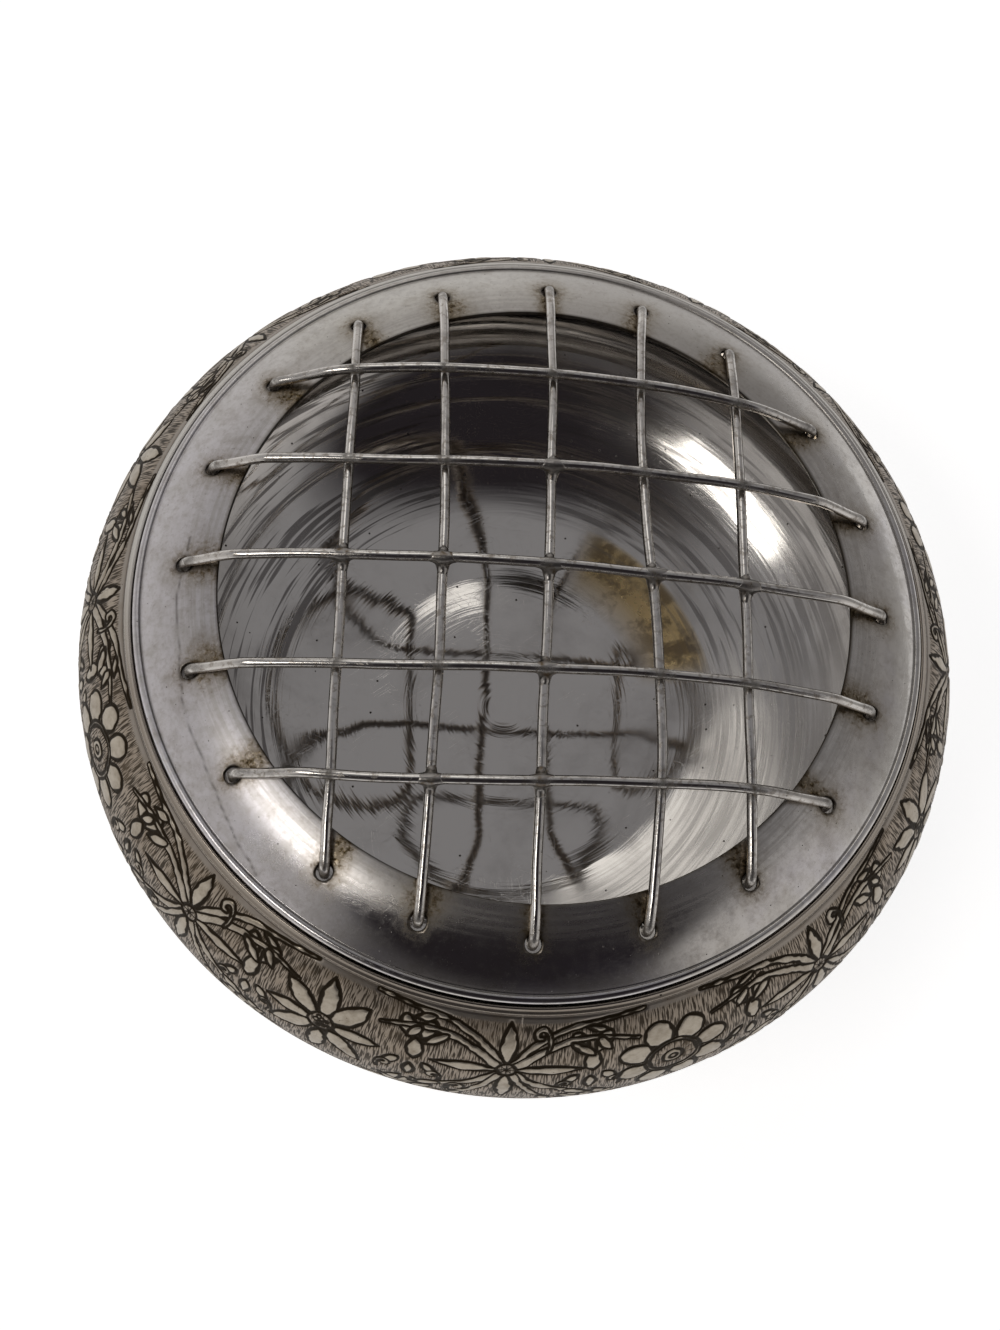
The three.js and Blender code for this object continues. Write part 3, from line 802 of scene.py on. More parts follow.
def cover_sheet(cover, holes, turns=960, rows=37):
    """The cover's shoulder with its holes, its rolled bead and its rounded opening edge."""
    line, normal = shoulder_line(cover, np.linspace(SHEET_START, SHEET_END, rows))
    groove = beside(0.0, GROOVE_DEPTH * bell(line[:, 0], line[-1, 0], GROOVE_WIDTH))
    (top, top_gone, top_rings), (under, under_gone, under_rings) = (
        punched_grid(sheet, turns, holes, cover.hole_diameter / 2)
        for sheet in (line - groove, line - cover.sheet * normal))
    bead = turned(ellipse_line((cover.opening_radius + cover.shoulder_width, cover.bead_height),
                               cover.bead_radius, cover.bead_radius, 112, -140, 22), turns)
    half = cover.sheet / 2
    edge_line, edge_normal = shoulder_line(cover, np.zeros(5))
    bend = np.radians(np.linspace(-72, 72, 5))
    edge = (edge_line - edge_normal * half + (EDGE_ROUND, 0.0)
            + beside(-EDGE_ROUND * np.cos(bend), half * 0.98 * np.sin(bend)))
    points = np.concatenate([top, bead, under[:, ::-1], turned(edge, turns)], axis=1)
    width, first_under = points.shape[1], rows + bead.shape[1]
    gone = np.zeros((turns, width), bool)
    gone[:, :rows] = top_gone
    gone[:, first_under:first_under + rows] = under_gone[:, ::-1]
    faces = grid_faces(turns, width, True, True)
    faces = faces[~gone.ravel()[faces].any(axis=1)]
    above = top_rings // rows * width + top_rings % rows
    below = under_rings // rows * width + first_under + rows - 1 - under_rings % rows
    walls = beside(below, np.roll(below, -1, axis=1), np.roll(above, -1, axis=1), above)
    number_of = np.cumsum(~gone) - 1
    return points[~gone], [number_of[faces], number_of[walls.reshape(-1, 4)]]


# A thin line that a drying edge of water left on the shoulder: degrees round, mm out
TIDE_LINE = ((-186, 48.2), (-174, 48.7), (-156, 50.1), (-141, 51.4), (-134, 53.0), (-131, 53.9))


def cover_marks(cover, holes, points):
    """Stains that run in from the holes, painted shade round each hole, films, painted shade on the
    far right, and painted shade in the groove by the bead, on the opening's edge and under the
    bead.
    """
    stain, ring = np.zeros((2, len(points)))
    chance = np.random.default_rng(5)
    for hole in holes:
        way = unit(hole)
        outward = (points[:, :2] - hole) @ way
        aside = (points[:, :2] - hole) @ (-way[1], way[0])
        away = np.hypot(aside, outward)
        strength, spread = chance.uniform(0.85, 1.2), chance.uniform(1.5, 2.7)
        run = ramp(outward, STAIN_END, -STAIN_WIDTH) * (outward > -STAIN_RUN)
        run = run * bell(aside, 0, spread)
        stain = np.maximum(stain, strength * np.maximum(run, 0.8 * bell(away, 0, SPOT_REACH)))
        # A ring of painted shade at the hole's edge, where the wire goes in
        ring = np.maximum(ring, bell(away, SHADE_RING_RADIUS, SHADE_RING_WIDTH))
    beyond = np.hypot(points[:, 0], points[:, 1]) - cover.opening_radius
    # Painted shade: the groove beside the bead, lighter on the far side, the opening's rounded
    # edge, and the bead's lower outer side
    groove = ((1 - 0.75 * wear("lighter groove shade", points))
              * bell(beyond, 0.965 * cover.shoulder_width, 0.14))
    edge = 0.95 * bell(beyond, 0.02, 0.19)
    under_bead = 0.35 * bell(beyond, 11.95, 0.25) * (points[:, 2] < cover.bead_height)
    around = np.degrees(np.arctan2(points[:, 1], points[:, 0]))
    around = around - 360 * (around > 0)
    line = np.interp(around, *np.array(TIDE_LINE).T, left=0, right=0)
    line = line + 0.2 * np.sin(around * 0.35) + 0.07 * np.sin(around * 1.1)
    return {"stain": stain, "hole_ring": ring,
            "brushed": ramp(beyond, BRUSHED_END, -BRUSHED_WIDTH),
            "tide": bell(beyond + cover.opening_radius, line, 0.11),
            "dirt": np.maximum.reduce([groove, edge, under_bead]),
            **{name: wear(name, points) for name in ("matte", "film", "smoky")}}


def collar_profile(cover):
    """The collar's closed section, its top slanted to lie under the shoulder."""
    outer, low = cover.collar_radius, cover.collar_bottom
    inner = outer - cover.collar_wall
    u = (np.array([outer, inner]) - cover.opening_radius) / cover.shoulder_width
    outer_top, inner_top = shoulder_line(cover, u)[0][:, 1] - cover.sheet * 1.3 - COLLAR_GAP
    return spaced(np.array([[inner, inner_top], [inner, low + BEVEL], [inner + BEVEL, low],
                            [outer - BEVEL, low], [outer, low + BEVEL], [outer, outer_top],
                            [inner, inner_top]]), 0.25)[:-1]


# Shapes of the wires, all in mm

# Hand bending of each wire, far to near and then left to right, in shares of the wires'
# spacing: how far it is shifted, leaned, bowed one way and swayed both ways off its even place
CROSS_BENDS = ((0.05, -0.05, 0.114, 0.0), (0.064, -0.057, 0.014, 0.036),
               (0.029, -0.043, -0.014, 0.0), (-0.021, -0.007, 0.007, 0.029),
               (0.007, 0.014, -0.064, 0.036))
LONG_BENDS = ((0.086, -0.014, 0.0, 0.0), (-0.05, -0.029, 0.079, 0.0), (0.036, 0.0, 0.0, 0.014),
              (0.057, -0.036, -0.021, -0.086), (0.0, -0.057, -0.036, 0.0))

# Small kinks sideways and up or down: how far they go, and the lengths of their waves
KINK, KINK_WAVES = 0.07, (47.0, 29.0, 19.0)
LIFT, LIFT_WAVES = 0.03, (41.0, 23.0)
# How far from a wire's ends the kinks start, and over what length they grow
KINKS_START, KINKS_GROW = 8.0, 6.0

# Crossings that hold solder, as cross wire and long wire
SOLDERED = ("3_1", "3_2", "3_3", "3_4", "3_5", "2_3", "4_3", "5_2", "5_3")
# How far the solder's skin stands off the wires at a crossing's middle, and how much of that it
# loses by the solder's reach
SKIN_LIFT, SKIN_FALL = 0.07, 0.13


class WirePlan:
    """Where one wire lies: sideways off its even place, over the dome, and at its two holes."""

    def __init__(self, wires, cover, cross, place, bend):
        self.wires, self.cover, self.cross = wires, cover, cross
        shift, self.lean, self.bow, self.sway = (part * wires.pitch for part in bend)
        self.middle = place * wires.pitch + shift
        self.low = -np.sqrt(cover.hole_circle**2 - (self.middle - self.lean) ** 2)
        self.high = np.sqrt(cover.hole_circle**2 - (self.middle + self.lean) ** 2)

    def sideways(self, s):
        """The middle plus lean times u, bow times one less u squared, and a sine of sway."""
        u = s / np.where(s < 0, -self.low, self.high)
        return (self.middle + self.lean * u + self.bow * (1 - u * u)
                + self.sway * np.sin(np.pi * u))

    def dome(self, radius):
        """The dome's height: the crown less the rise times the squared share of the opening."""
        crown = self.wires.crown + (self.wires.cross_rise if self.cross else 0.0)
        return crown - self.wires.arch_rise * (radius / self.cover.opening_radius) ** 2

    def arch(self, s):
        """The wire's height: the dome, and a smooth step down to the shoulder near the holes."""
        wires, cover = self.wires, self.cover
        start = cover.opening_radius - (wires.landing if self.cross else 0.0)
        u = (cover.hole_circle - cover.opening_radius) / cover.shoulder_width
        landed = shoulder_line(cover, u)[0][1] + wires.seat + wires.diameter / 2
        radius = np.hypot(s, self.sideways(s))
        t = ramp(radius, start, cover.hole_circle - start)
        return self.dome(radius) - (self.dome(cover.hole_circle) - landed) * t * t * (3 - 2 * t)

    def place(self, s, z=None):
        """Points from the distance along the wire, on its arch unless a height is given."""
        across = self.sideways(s)
        z = self.arch(s) if z is None else z
        return beside(s, across, z) if self.cross else beside(across, s, z)

    def end(self, side):
        """One end outwards: the bend into the hole, the way down and the bent-over tail."""
        wires, hole = self.wires, self.low if side < 0 else self.high
        stop = hole - side * wires.upper_bend
        corner = 2 * self.arch(stop) - self.arch(stop - side * wires.upper_bend)
        below = corner - wires.upper_bend
        line, normal = shoulder_line(self.cover, np.linspace(0, 1, 200))
        under = np.interp(self.cover.hole_circle, *(line - self.cover.sheet * normal).T)
        turn = under - wires.tail_drop
        v = np.linspace(0, 1, 11)[1:, None]
        bent = ((1 - v) ** 2 * self.place(stop) + 2 * v * (1 - v) * self.place(hole, corner)
                + v**2 * self.place(hole, below))
        fourths = np.linspace(0, 1, 5)[1:]
        drop = self.place(hole, below + (turn - below) * fourths)
        tail, curve = hole - side * wires.lower_bend, v[:, 0] * np.pi / 2
        under_bend = self.place(tail + side * wires.lower_bend * np.cos(curve),
                                turn - wires.lower_bend * np.sin(curve))
        last = self.place(tail - side * wires.tail * fourths, turn - wires.lower_bend)
        return np.concatenate([bent, drop, under_bend, last])

    def path(self):
        """The whole wire from tail to tail."""
        bend = self.wires.upper_bend
        s = np.linspace(self.low + bend, self.high - bend, 150)
        return np.concatenate([self.end(-1)[::-1], self.place(s), self.end(1)])


def wire_plans(wires, cover):
    """The plans of the ten wires: cross wires from far to near, long wires from left to right."""
    return ([WirePlan(wires, cover, True, 2 - k, bend) for k, bend in enumerate(CROSS_BENDS)],
            [WirePlan(wires, cover, False, k - 2, bend) for k, bend in enumerate(LONG_BENDS)])


def hole_places(wires, cover):
    """Every wire hole's place seen from above."""
    cross, long = wire_plans(wires, cover)
    return np.array([plan.place(s, 0.0)[:2] for plan in cross + long
                     for s in (plan.low, plan.high)])


def crossing_of(cross, long):
    """Where a cross wire passes over a long wire: each is read at the other's place in turn."""
    x = y = 0.0
    for _ in range(20):
        x = long.sideways(y)
        y = cross.sideways(x)
    return float(x), float(y)


def round_wire(path, across, radius, sides):
    """A tube round a path: each ring lies square to the path, and its two ends are closed."""
    run = unit(np.gradient(path, axis=0))
    aside = unit(across - (run @ across)[:, None] * run)
    turn = np.linspace(0, 2 * np.pi, sides, endpoint=False)[:, None]
    rings = path[:, None] + radius[:, None, None] * (
        np.cos(turn) * aside[:, None] + np.sin(turn) * np.cross(run, aside)[:, None])
    ends = [0, -1]
    cap = 0.55 * radius[ends, None] * run[ends] * np.array([[-1.0], [1.0]])
    return np.concatenate([rings.reshape(-1, 3), path[ends] + cap]), tube_faces(len(path), sides)


def frog_wire(plan, wires, crossings, seed, sides=24):
    """One wire with the small kinks of hand work, darker where wires cross and near its ends, and
    painted shade on its sides and underside.
    """
    path = plan.path()
    reach = along(path)
    ends = np.minimum(reach, reach[-1] - reach)
    loose = ramp(ends, KINKS_START, KINKS_GROW)
    near = np.min([np.hypot(path[:, 0] - x, path[:, 1] - y) for x, y in crossings], axis=0)
    across = np.array([0.0, 1.0, 0.0] if plan.cross else [1.0, 0.0, 0.0])
    path[:, 1 if plan.cross else 0] += loose * wander(reach, KINK, KINK_WAVES, seed)
    path[:, 2] += loose * wander(reach, LIFT, LIFT_WAVES, seed + 1)
    radius = wires.diameter / 2 - 0.012 + wander(reach, 0.006, (9.0, 5.3), seed + 2)
    points, faces = round_wire(path, across, radius, sides)
    # On the wires this mark is a darkening where they cross and along each end, through its hole
    dirt = np.maximum(0.9 * bell(near, 0, 1.1), ramp(ends, 8.0, -3.5))
    # Painted shade: full under the wire, about half on its sides, none on top
    above = (points[:-2, 2] - np.repeat(path[:, 2], sides)) / radius.mean()
    return points, faces, {"dirt": np.append(np.repeat(dirt, sides), [1.0, 1.0]),
                           "underside": np.append(ramp(above, 0.62, -1.2), [1.0, 1.0])}


def solder_bead(cross, long, wires, bands=40, turns=64):
    """Solder in the corners of one crossing.

    Rays leave the middle of the crossing in all directions, and each stops where it leaves the
    rounded union of the two wires. The union's skin is lifted a little at the middle and sinks
    into the wires at the solder's reach.
    """
    x, y = crossing_of(cross, long)
    middle = np.array([x, y, (long.arch(y) + cross.arch(x)) / 2])
    tilt = np.linspace(0, np.pi, bands + 2)[1:-1, None]
    turn = np.linspace(0, 2 * np.pi, turns, endpoint=False)
    rays = beside(np.sin(tilt) * np.cos(turn), np.sin(tilt) * np.sin(turn), np.cos(tilt))
    rays = np.concatenate([rays.reshape(-1, 3), [[0, 0, 1.0], [0, 0, -1.0]]])
    reach, blend = wires.solder_reach, wires.solder_fill
    steps = np.linspace(0.02, reach * 1.25, 90)
    gaps = []
    for plan, s in ((long, y), (cross, x)):
        way = unit(plan.place(s + 2.0) - plan.place(s - 2.0))
        offset = middle + rays[:, None] * steps[:, None] - plan.place(s)
        offset = offset - (offset @ way)[..., None] * way
        gaps.append(np.linalg.norm(offset, axis=-1) - wires.diameter / 2)
    mix = np.clip(0.5 + 0.5 * (gaps[1] - gaps[0]) / blend, 0, 1)
    union = gaps[1] * (1 - mix) + gaps[0] * mix - blend * mix * (1 - mix)
    outside = union > SKIN_LIFT - SKIN_FALL * (steps / reach) ** 2
    first = np.where(outside.any(axis=1), outside.argmax(axis=1), len(steps) - 1)
    distance = np.minimum(steps[first], reach * np.sqrt(1 - 0.3 * rays[:, 2] ** 2))
    return middle + rays * distance[:, None], tube_faces(bands, turns)


# Nodes

def opaque(colour):
    """A colour with full alpha."""
    return (*colour, 1.0)


class Nodes:
    """Short ways to add nodes to one tree. Inputs are values or other nodes' sockets."""

    def __init__(self, tree):
        self.tree = tree

    def give(self, socket, value):
        """Joins an input to another socket, or sets it to a value."""
        if isinstance(value, bpy.types.NodeSocket):
            self.tree.links.new(value, socket)
        else:
            socket.default_value = value

    def put(self, kind, sockets, **settings):
        """Adds a node with its inputs, by name or number, and its settings. Gives its outputs."""
        node = self.tree.nodes.new("ShaderNode" + kind)
        for name, value in settings.items():
            setattr(node, name, value)
        for name, value in sockets.items():
            self.give(node.inputs[name], value)
        return node.outputs

    def maths(self, operation, *values):
        """One sum of one or two values."""
        return self.put("Math", dict(enumerate(values)), operation=operation)[0]

    def times(self, value, *others):
        """Values multiplied."""
        for other in others:
            value = self.maths("MULTIPLY", value, other)
        return value

    def rest(self, value):
        """One less a value."""
        return self.maths("SUBTRACT", 1.0, value)

    def vectors(self, operation, a, b):
        """One sum of two vectors."""
        return self.put("VectorMath", {0: a, 1: b}, operation=operation)

    def stretch(self, vector, factors):
        """A vector times a factor for each direction."""
        return self.vectors("MULTIPLY", vector, factors)[0]

    def parts(self, vector):
        """A vector's three parts."""
        return self.put("SeparateXYZ", {0: vector})

    def fade(self, value, low, high, to_low=0.0, to_high=1.0):
        """A smooth step from one level at low to another at high."""
        return self.put("MapRange", {0: value, 1: low, 2: high, 3: to_low, 4: to_high},
                        interpolation_type="SMOOTHSTEP")[0]

    def noise(self, vector, scale=1.0, detail=2.0, rough=0.5, twist=0.0):
        """Smooth noise."""
        return self.put("TexNoise", {"Vector": vector, "Scale": scale, "Detail": detail,
                                     "Roughness": rough, "Distortion": twist})[0]

    def blend_colour(self, factor, a, b):
        """A mix of two colours."""
        return self.put("Mix", {0: factor, 6: a, 7: b}, data_type="RGBA")[2]

    def blend_value(self, factor, a, b):
        """A mix of two values."""
        return self.put("Mix", {0: factor, 2: a, 3: b}, data_type="FLOAT")[0]


def tarnish_patches(g, given):
    """Cloudy patches: noise of a given size, cut off so that a given amount is covered."""
    cloud = g.noise(given["Place"], g.maths("DIVIDE", 1.0, given["Size"]), 6.0, 0.62, 0.35)
    start = g.maths("SUBTRACT", 0.74, g.times(given["Amount"], 0.5))
    return g.fade(cloud, start, g.maths("ADD", start, given["Softness"]))


def hairline_scratches(g, given):
    """Fine scratches: the thin zero lines of noise drawn out in three directions."""
    total = 0.0
    for turn, offset in ((0.35, 0.0), (1.35, 31.0), (2.5, 67.0)):
        drawn = g.put("Mapping", {"Vector": given["Place"], "Rotation": (0.2, 0.15, turn),
                                  "Location": (offset,) * 3})[0]
        streak = g.noise(g.stretch(drawn, (0.035, 1.1, 1.1)), 1.0, 1.0)
        from_zero = g.maths("ABSOLUTE", g.maths("SUBTRACT", streak, 0.5))
        here = g.fade(g.noise(given["Place"], 0.14 + 0.02 * turn), 0.5, 0.62)
        line = g.times(g.fade(from_zero, given["Width"], 0.0), here)
        total = g.maths("MAXIMUM", total, line)
    return total


def small_pits(g, given):
    """Small round pits: the middles of some cells."""
    cells = g.put("TexVoronoi", {"Vector": given["Place"],
                                 "Scale": g.maths("DIVIDE", 1.0, given["Spacing"])})
    dot = g.fade(cells["Distance"], given["Radius"], g.times(given["Radius"], 0.5))
    return g.times(dot, g.fade(g.put("SeparateColor", {0: cells["Color"]})[0], 0.55, 0.6))


def turning_lines(g, given):
    """Rings left by the lathe: noise that runs out from the axis and hardly changes round it."""
    x, y, z = g.parts(given["Place"])
    radius = g.maths("SQRT", g.maths("ADD", g.times(x, x), g.times(y, y)))
    out = g.maths("DIVIDE", g.maths("ADD", radius, g.times(z, 0.6)), given["Spacing"])
    place = g.put("CombineXYZ", {0: out, 1: g.times(x, 0.045), 2: g.times(y, 0.045)})[0]
    return g.noise(place, 1.0, 2.0, 0.6)


def hand_waves(g, given):
    """Slow waves left by planishing and dents."""
    return g.noise(given["Place"], g.maths("DIVIDE", 1.0, given["Size"]), 1.0, 0.4)


EFFECTS = {
    "Tarnish patches": ({"Size": 9.0, "Amount": 0.5, "Softness": 0.2}, "Mask", tarnish_patches),
    "Hairline scratches": ({"Width": 0.012}, "Mask", hairline_scratches),
    "Small pits": ({"Spacing": 1.6, "Radius": 0.14}, "Mask", small_pits),
    "Turning lines": ({"Spacing": 0.5}, "Height", turning_lines),
    "Hand waves": ({"Size": 12.0}, "Height", hand_waves),
}


def shared_effect(name):
    """The node group that puts out one mask or height, made once under its name."""
    if name in bpy.data.node_groups:
        return bpy.data.node_groups[name]
    inputs, output, build = EFFECTS[name]
    group = bpy.data.node_groups.new(name, "ShaderNodeTree")
    sockets = group.interface
    sockets.new_socket(name="Place", in_out="INPUT", socket_type="NodeSocketVector")
    for label, default in inputs.items():
        socket = sockets.new_socket(name=label, in_out="INPUT", socket_type="NodeSocketFloat")
        socket.default_value = default
    sockets.new_socket(name=output, in_out="OUTPUT", socket_type="NodeSocketFloat")
    given = group.nodes.new("NodeGroupInput").outputs
    result = group.nodes.new("NodeGroupOutput").inputs
    group.links.new(build(Nodes(group), given), result[output])
    return group


class Finish(Nodes):
    """A metal finish built up in layers on one Principled shader, on coordinates in mm."""

    def __init__(self, name, colour, roughness):
        self.material = bpy.data.materials.new(name)
        self.material.use_nodes = True
        super().__init__(self.material.node_tree)
        self.colour, self.roughness = opaque(colour), roughness
        self.metal, self.height = 1.0, 0.0
        self.place = self.stretch(self.put("TexCoord", {})["Object"], (1 / MM,) * 3)

    def effect(self, name, **values):
        """The mask or height of a shared effect."""
        return self.put("Group", {"Place": self.place, **values}, node_tree=shared_effect(name))[0]

    def patches(self, size, amount, softness):
        """Cloudy patches, their size in mm."""
        return self.effect("Tarnish patches", Size=size, Amount=amount, Softness=softness)

    def rings(self, spacing):
        """Turning lines, their spacing in mm."""
        return self.effect("Turning lines", Spacing=spacing)

    def pits(self, spacing, radius):
        """Pits, their spacing in mm and their radius in shares of it."""
        return self.effect("Small pits", Spacing=spacing, Radius=radius)

    def scratches(self, width):
        """Fine scratches."""
        return self.effect("Hairline scratches", Width=width)

    def waves(self, size):
        """Slow waves, their size in mm."""
        return self.effect("Hand waves", Size=size)

    def mark(self, name, kind="Fac"):
        """A mark that the mesh carries."""
        return self.put("Attribute", {}, attribute_name=name)[kind]

    def coat(self, masks, colour, roughness, metal=None):
        """Lays a coat over the finish as far as its masks, multiplied, reach. None keeps a part."""
        mask = self.times(*masks)
        if colour is not None:
            self.colour = self.blend_colour(mask, self.colour, opaque(colour))
        self.roughness = self.blend_value(mask, self.roughness, roughness)
        if metal is not None:
            self.metal = self.blend_value(mask, self.metal, metal)

    def emboss(self, heights, amount):
        """Raises the surface by the heights, multiplied, times an amount in metres."""
        self.height = self.maths("ADD", self.height, self.times(*heights, amount))

    def done(self):
        """Joins the layers to the shader."""
        bump = self.put("Bump", {"Strength": 1.0, "Distance": 1.0, "Height": self.height})[0]
        inputs = self.tree.nodes["Principled BSDF"].inputs
        for name, value in (("Base Color", self.colour), ("Roughness", self.roughness),
                            ("Metallic", self.metal), ("Normal", bump)):
            self.give(inputs[name], value)
        return self.material


def bowl_finish(looks):
    """Spun silver plate: polished, ringed by the lathe, scratched and stained by water, with
    painted reflection streaks and some painted shade.
    """
    f = Finish("spun silver", looks.silver, looks.polish)
    f.coat([f.patches(16.0, 0.55, 0.4)], looks.dull, 0.11)
    f.coat([f.patches(5.0, 0.4, 0.3), 0.1], looks.tarnish_and_shade, 0.2)
    f.coat([f.mark("yellow"), 0.85], looks.gold, 0.34)
    f.coat([f.mark("yellow"), f.patches(3.4, 0.62, 0.16), 0.8], looks.tarnish_and_shade, 0.16)
    # Painted reflection streaks along the lathe's rings on the inner wall
    f.coat([f.fade(f.times(f.rings(0.85), f.mark("wall")), 0.52, 0.60), 0.8], looks.reflection_streak_grey, 0.2)
    f.coat([f.fade(f.times(f.rings(0.8), f.mark("rubbed")), 0.4, 0.6), 0.8], looks.silver, 0.3)
    f.coat([f.mark("sheen"), 0.7], None, 0.16)
    # Painted reflection streaks inside the lamp's glossy patch
    f.coat([f.fade(f.rings(1.2), 0.52, 0.6), f.mark("sheen"), 0.6], looks.reflection_streak_grey, 0.2)
    # Dull haze whose darker colour also dims the lamp's reflection here: partly painted shade
    f.coat([f.mark("haze"), f.fade(f.rings(0.5), 0.42, 0.58, 0.55, 1.0), 0.8], looks.dull, 0.3)
    # Tarnish and painted shade on the lip beside the seam under the cover's bead
    f.coat([f.mark("strip"), 0.7], looks.tarnish_and_shade, 0.3)
    f.coat([f.mark("lip"), 0.9], looks.pewtery, 0.36)
    f.coat([f.pits(2.6, 0.09)], looks.groove, 0.6, 0.3)
    f.coat([f.scratches(0.008), 0.15], looks.silver, looks.wear)
    f.emboss([f.rings(0.55)], 4.5e-6)
    f.emboss([f.rings(3.0)], 1.2e-5)
    f.emboss([f.rings(1.5), f.mark("sheen")], 3.2e-5)
    f.emboss([f.waves(13.0)], 9e-5)
    f.emboss([f.scratches(0.008)], -1e-6)
    return f.done()


def band_finish(looks):
    """The engraved band: bright petals on a hatched, tarnished ground, with dark cuts."""
    f = Finish("engraved silver", looks.dull, 0.36)
    flat, bright = f.mark("band_place", "Vector"), f.mark("bright")
    drift = f.times(f.noise(f.stretch(flat, (0.16, 0.16, 0.0))), 2.6)
    leaned = f.vectors("ADD", f.stretch(flat, (4.3, 0.42, 0.0)), f.put("CombineXYZ", {0: drift})[0])
    hatch = f.fade(f.noise(leaned[0], 1.0, 1.0), 0.43, 0.57)
    border = f.fade(f.parts(flat)[1], 2.3, 1.7)
    ground = f.times(f.rest(bright), f.rest(border))
    f.coat([border, 0.5], looks.tarnish_and_shade, 0.3)
    f.coat([bright, 0.9], looks.worn, 0.32)
    f.coat([bright, f.patches(1.1, 0.8, 0.5), 0.5], looks.tarnish_and_shade, 0.4)
    f.coat([ground, 0.6], looks.ground, 0.4)
    f.coat([ground, f.rest(hatch), 0.88], looks.groove, 0.55)
    f.coat([f.patches(6.0, 0.55, 0.2), 0.35], looks.tarnish_and_shade, 0.40)
    f.coat([f.pits(0.9, 0.12)], looks.tarnish_and_shade, 0.6)
    f.coat([f.fade(f.mark("cut"), 0.2, 0.62)], looks.groove, 0.6)
    f.emboss([ground, hatch], 2.6e-5)
    f.emboss([f.waves(1.1)], 1.2e-5)
    return f.done()


def cover_finish(looks):
    """The cover's shoulder: bright, finely turned, pitted, with stains that run from the holes and
    painted shade round the holes, by the bead, on the opening's edge and on the far right.
    """
    f = Finish("turned silver", looks.silver, looks.polish)
    brushed, matte = f.mark("brushed"), f.mark("matte")
    f.coat([f.patches(17.0, 0.6, 0.3)], looks.lilac, 0.13)
    f.coat([brushed], looks.silver, 0.26)
    f.coat([matte, 0.9], looks.pewtery, 0.36)
    f.coat([f.mark("film"), 0.8], looks.lilac, 0.34)
    # Painted shade: the far right shoulder darkened
    f.coat([f.mark("smoky"), 0.75], looks.dull, 0.32)
    f.coat([f.fade(f.rings(0.42), 0.45, 0.6), brushed, 0.55], looks.dull, 0.4)
    f.coat([f.patches(2.4, 0.42, 0.14), 0.30], looks.dull, looks.wear)
    f.coat([f.patches(5.5, 0.62, 0.3), 0.45], looks.dull, 0.3)
    f.coat([f.patches(3.0, 0.5, 0.25), 0.28], looks.tarnish_and_shade, 0.3)
    f.coat([f.patches(1.3, 0.6, 0.2), 0.36], looks.dull, 0.32)
    f.coat([f.patches(0.6, 0.55, 0.3), 0.24], looks.tarnish_and_shade, 0.36)
    f.coat([f.patches(8.0, 0.5, 0.1), f.pits(0.6, 0.12)], looks.groove, 0.5)
    f.coat([f.scratches(0.009), 0.2], looks.silver, looks.wear)
    speckle = f.pits(1.25, 0.09)
    f.coat([speckle], looks.groove, 0.6, 0.4)
    grain = f.patches(0.75, 0.62, 0.3)
    stain = f.times(f.mark("stain"), f.maths("ADD", f.times(grain, 0.6), 0.55))
    f.coat([stain], looks.yellowing, 0.32)
    f.coat([stain, grain, 0.95], looks.tarnish_and_shade, 0.45)
    f.coat([stain, f.patches(0.4, 0.8, 0.16), 0.9], looks.groove, 0.5)
    f.coat([f.mark("tide"), 0.6], looks.groove, 0.4)
    # Painted shade: a dark ring at each hole's edge
    f.coat([f.mark("hole_ring"), 0.9], looks.groove, 0.4)
    # Painted shade in the groove by the bead, on the opening's edge and under the bead
    f.coat([f.mark("dirt")], looks.groove, 0.45)
    f.emboss([f.rings(0.34)], 2.2e-6)
    f.emboss([f.rings(0.5), matte], 9e-6)
    f.emboss([f.rings(0.22), brushed], 6e-6)
    f.emboss([f.waves(9.0)], 3.0e-5)
    f.emboss([f.scratches(0.009)], -1.5e-6)
    f.emboss([speckle], -1.5e-5)
    return f.done()


def wire_finish(looks):
    """Drawn silver wire: bright on top, with painted shade on its sides and underside, and darker
    where wires cross and at the holes.
    """
    f = Finish("drawn silver wire", looks.silver, 0.10)
    f.coat([f.patches(3.2, 0.5, 0.2)], looks.dull, 0.2)
    f.coat([f.patches(0.8, 0.45, 0.1), 0.45], looks.tarnish_and_shade, 0.42)
    f.coat([f.pits(1.1, 0.11)], looks.groove, 0.6, 0.4)
    f.coat([f.mark("dirt"), f.patches(0.9, 0.85, 0.3), 0.85], looks.groove, 0.5, 0.5)
    # Painted shade on the wire's sides and underside
    f.coat([f.mark("underside"), 0.8], looks.tarnish_and_shade, 0.45)
    f.emboss([f.waves(1.6)], 1.0e-5)
    f.emboss([f.scratches(0.02)], -3e-6)
    return f.done()


def solder_finish(looks):
    """Grey solder with a grainy, tarnished skin."""
    f = Finish("solder", looks.solder, 0.30)
    f.coat([f.patches(1.4, 0.55, 0.25)], looks.tarnish_and_shade, 0.45)
    f.coat([f.pits(0.7, 0.13)], looks.groove, 0.6, 0.4)
    f.emboss([f.waves(0.7)], 2.5e-5)
    return f.done()


def turned_finish(name, looks, colour, spacing):
    """Plain turned silver for the collar and the foot."""
    f = Finish(name, colour, 0.2)
    f.coat([f.patches(8.0, 0.6, 0.25)], looks.dull, 0.3)
    f.coat([f.patches(2.2, 0.5, 0.45), 0.35], looks.tarnish_and_shade, 0.42)
    f.coat([f.scratches(0.014), 0.5], looks.silver, looks.wear)
    f.coat([f.pits(1.8, 0.1)], looks.groove, 0.6, 0.4)
    f.emboss([f.rings(spacing)], 4e-6)
    f.emboss([f.scratches(0.014)], -3e-6)
    return f.done()


# Operators

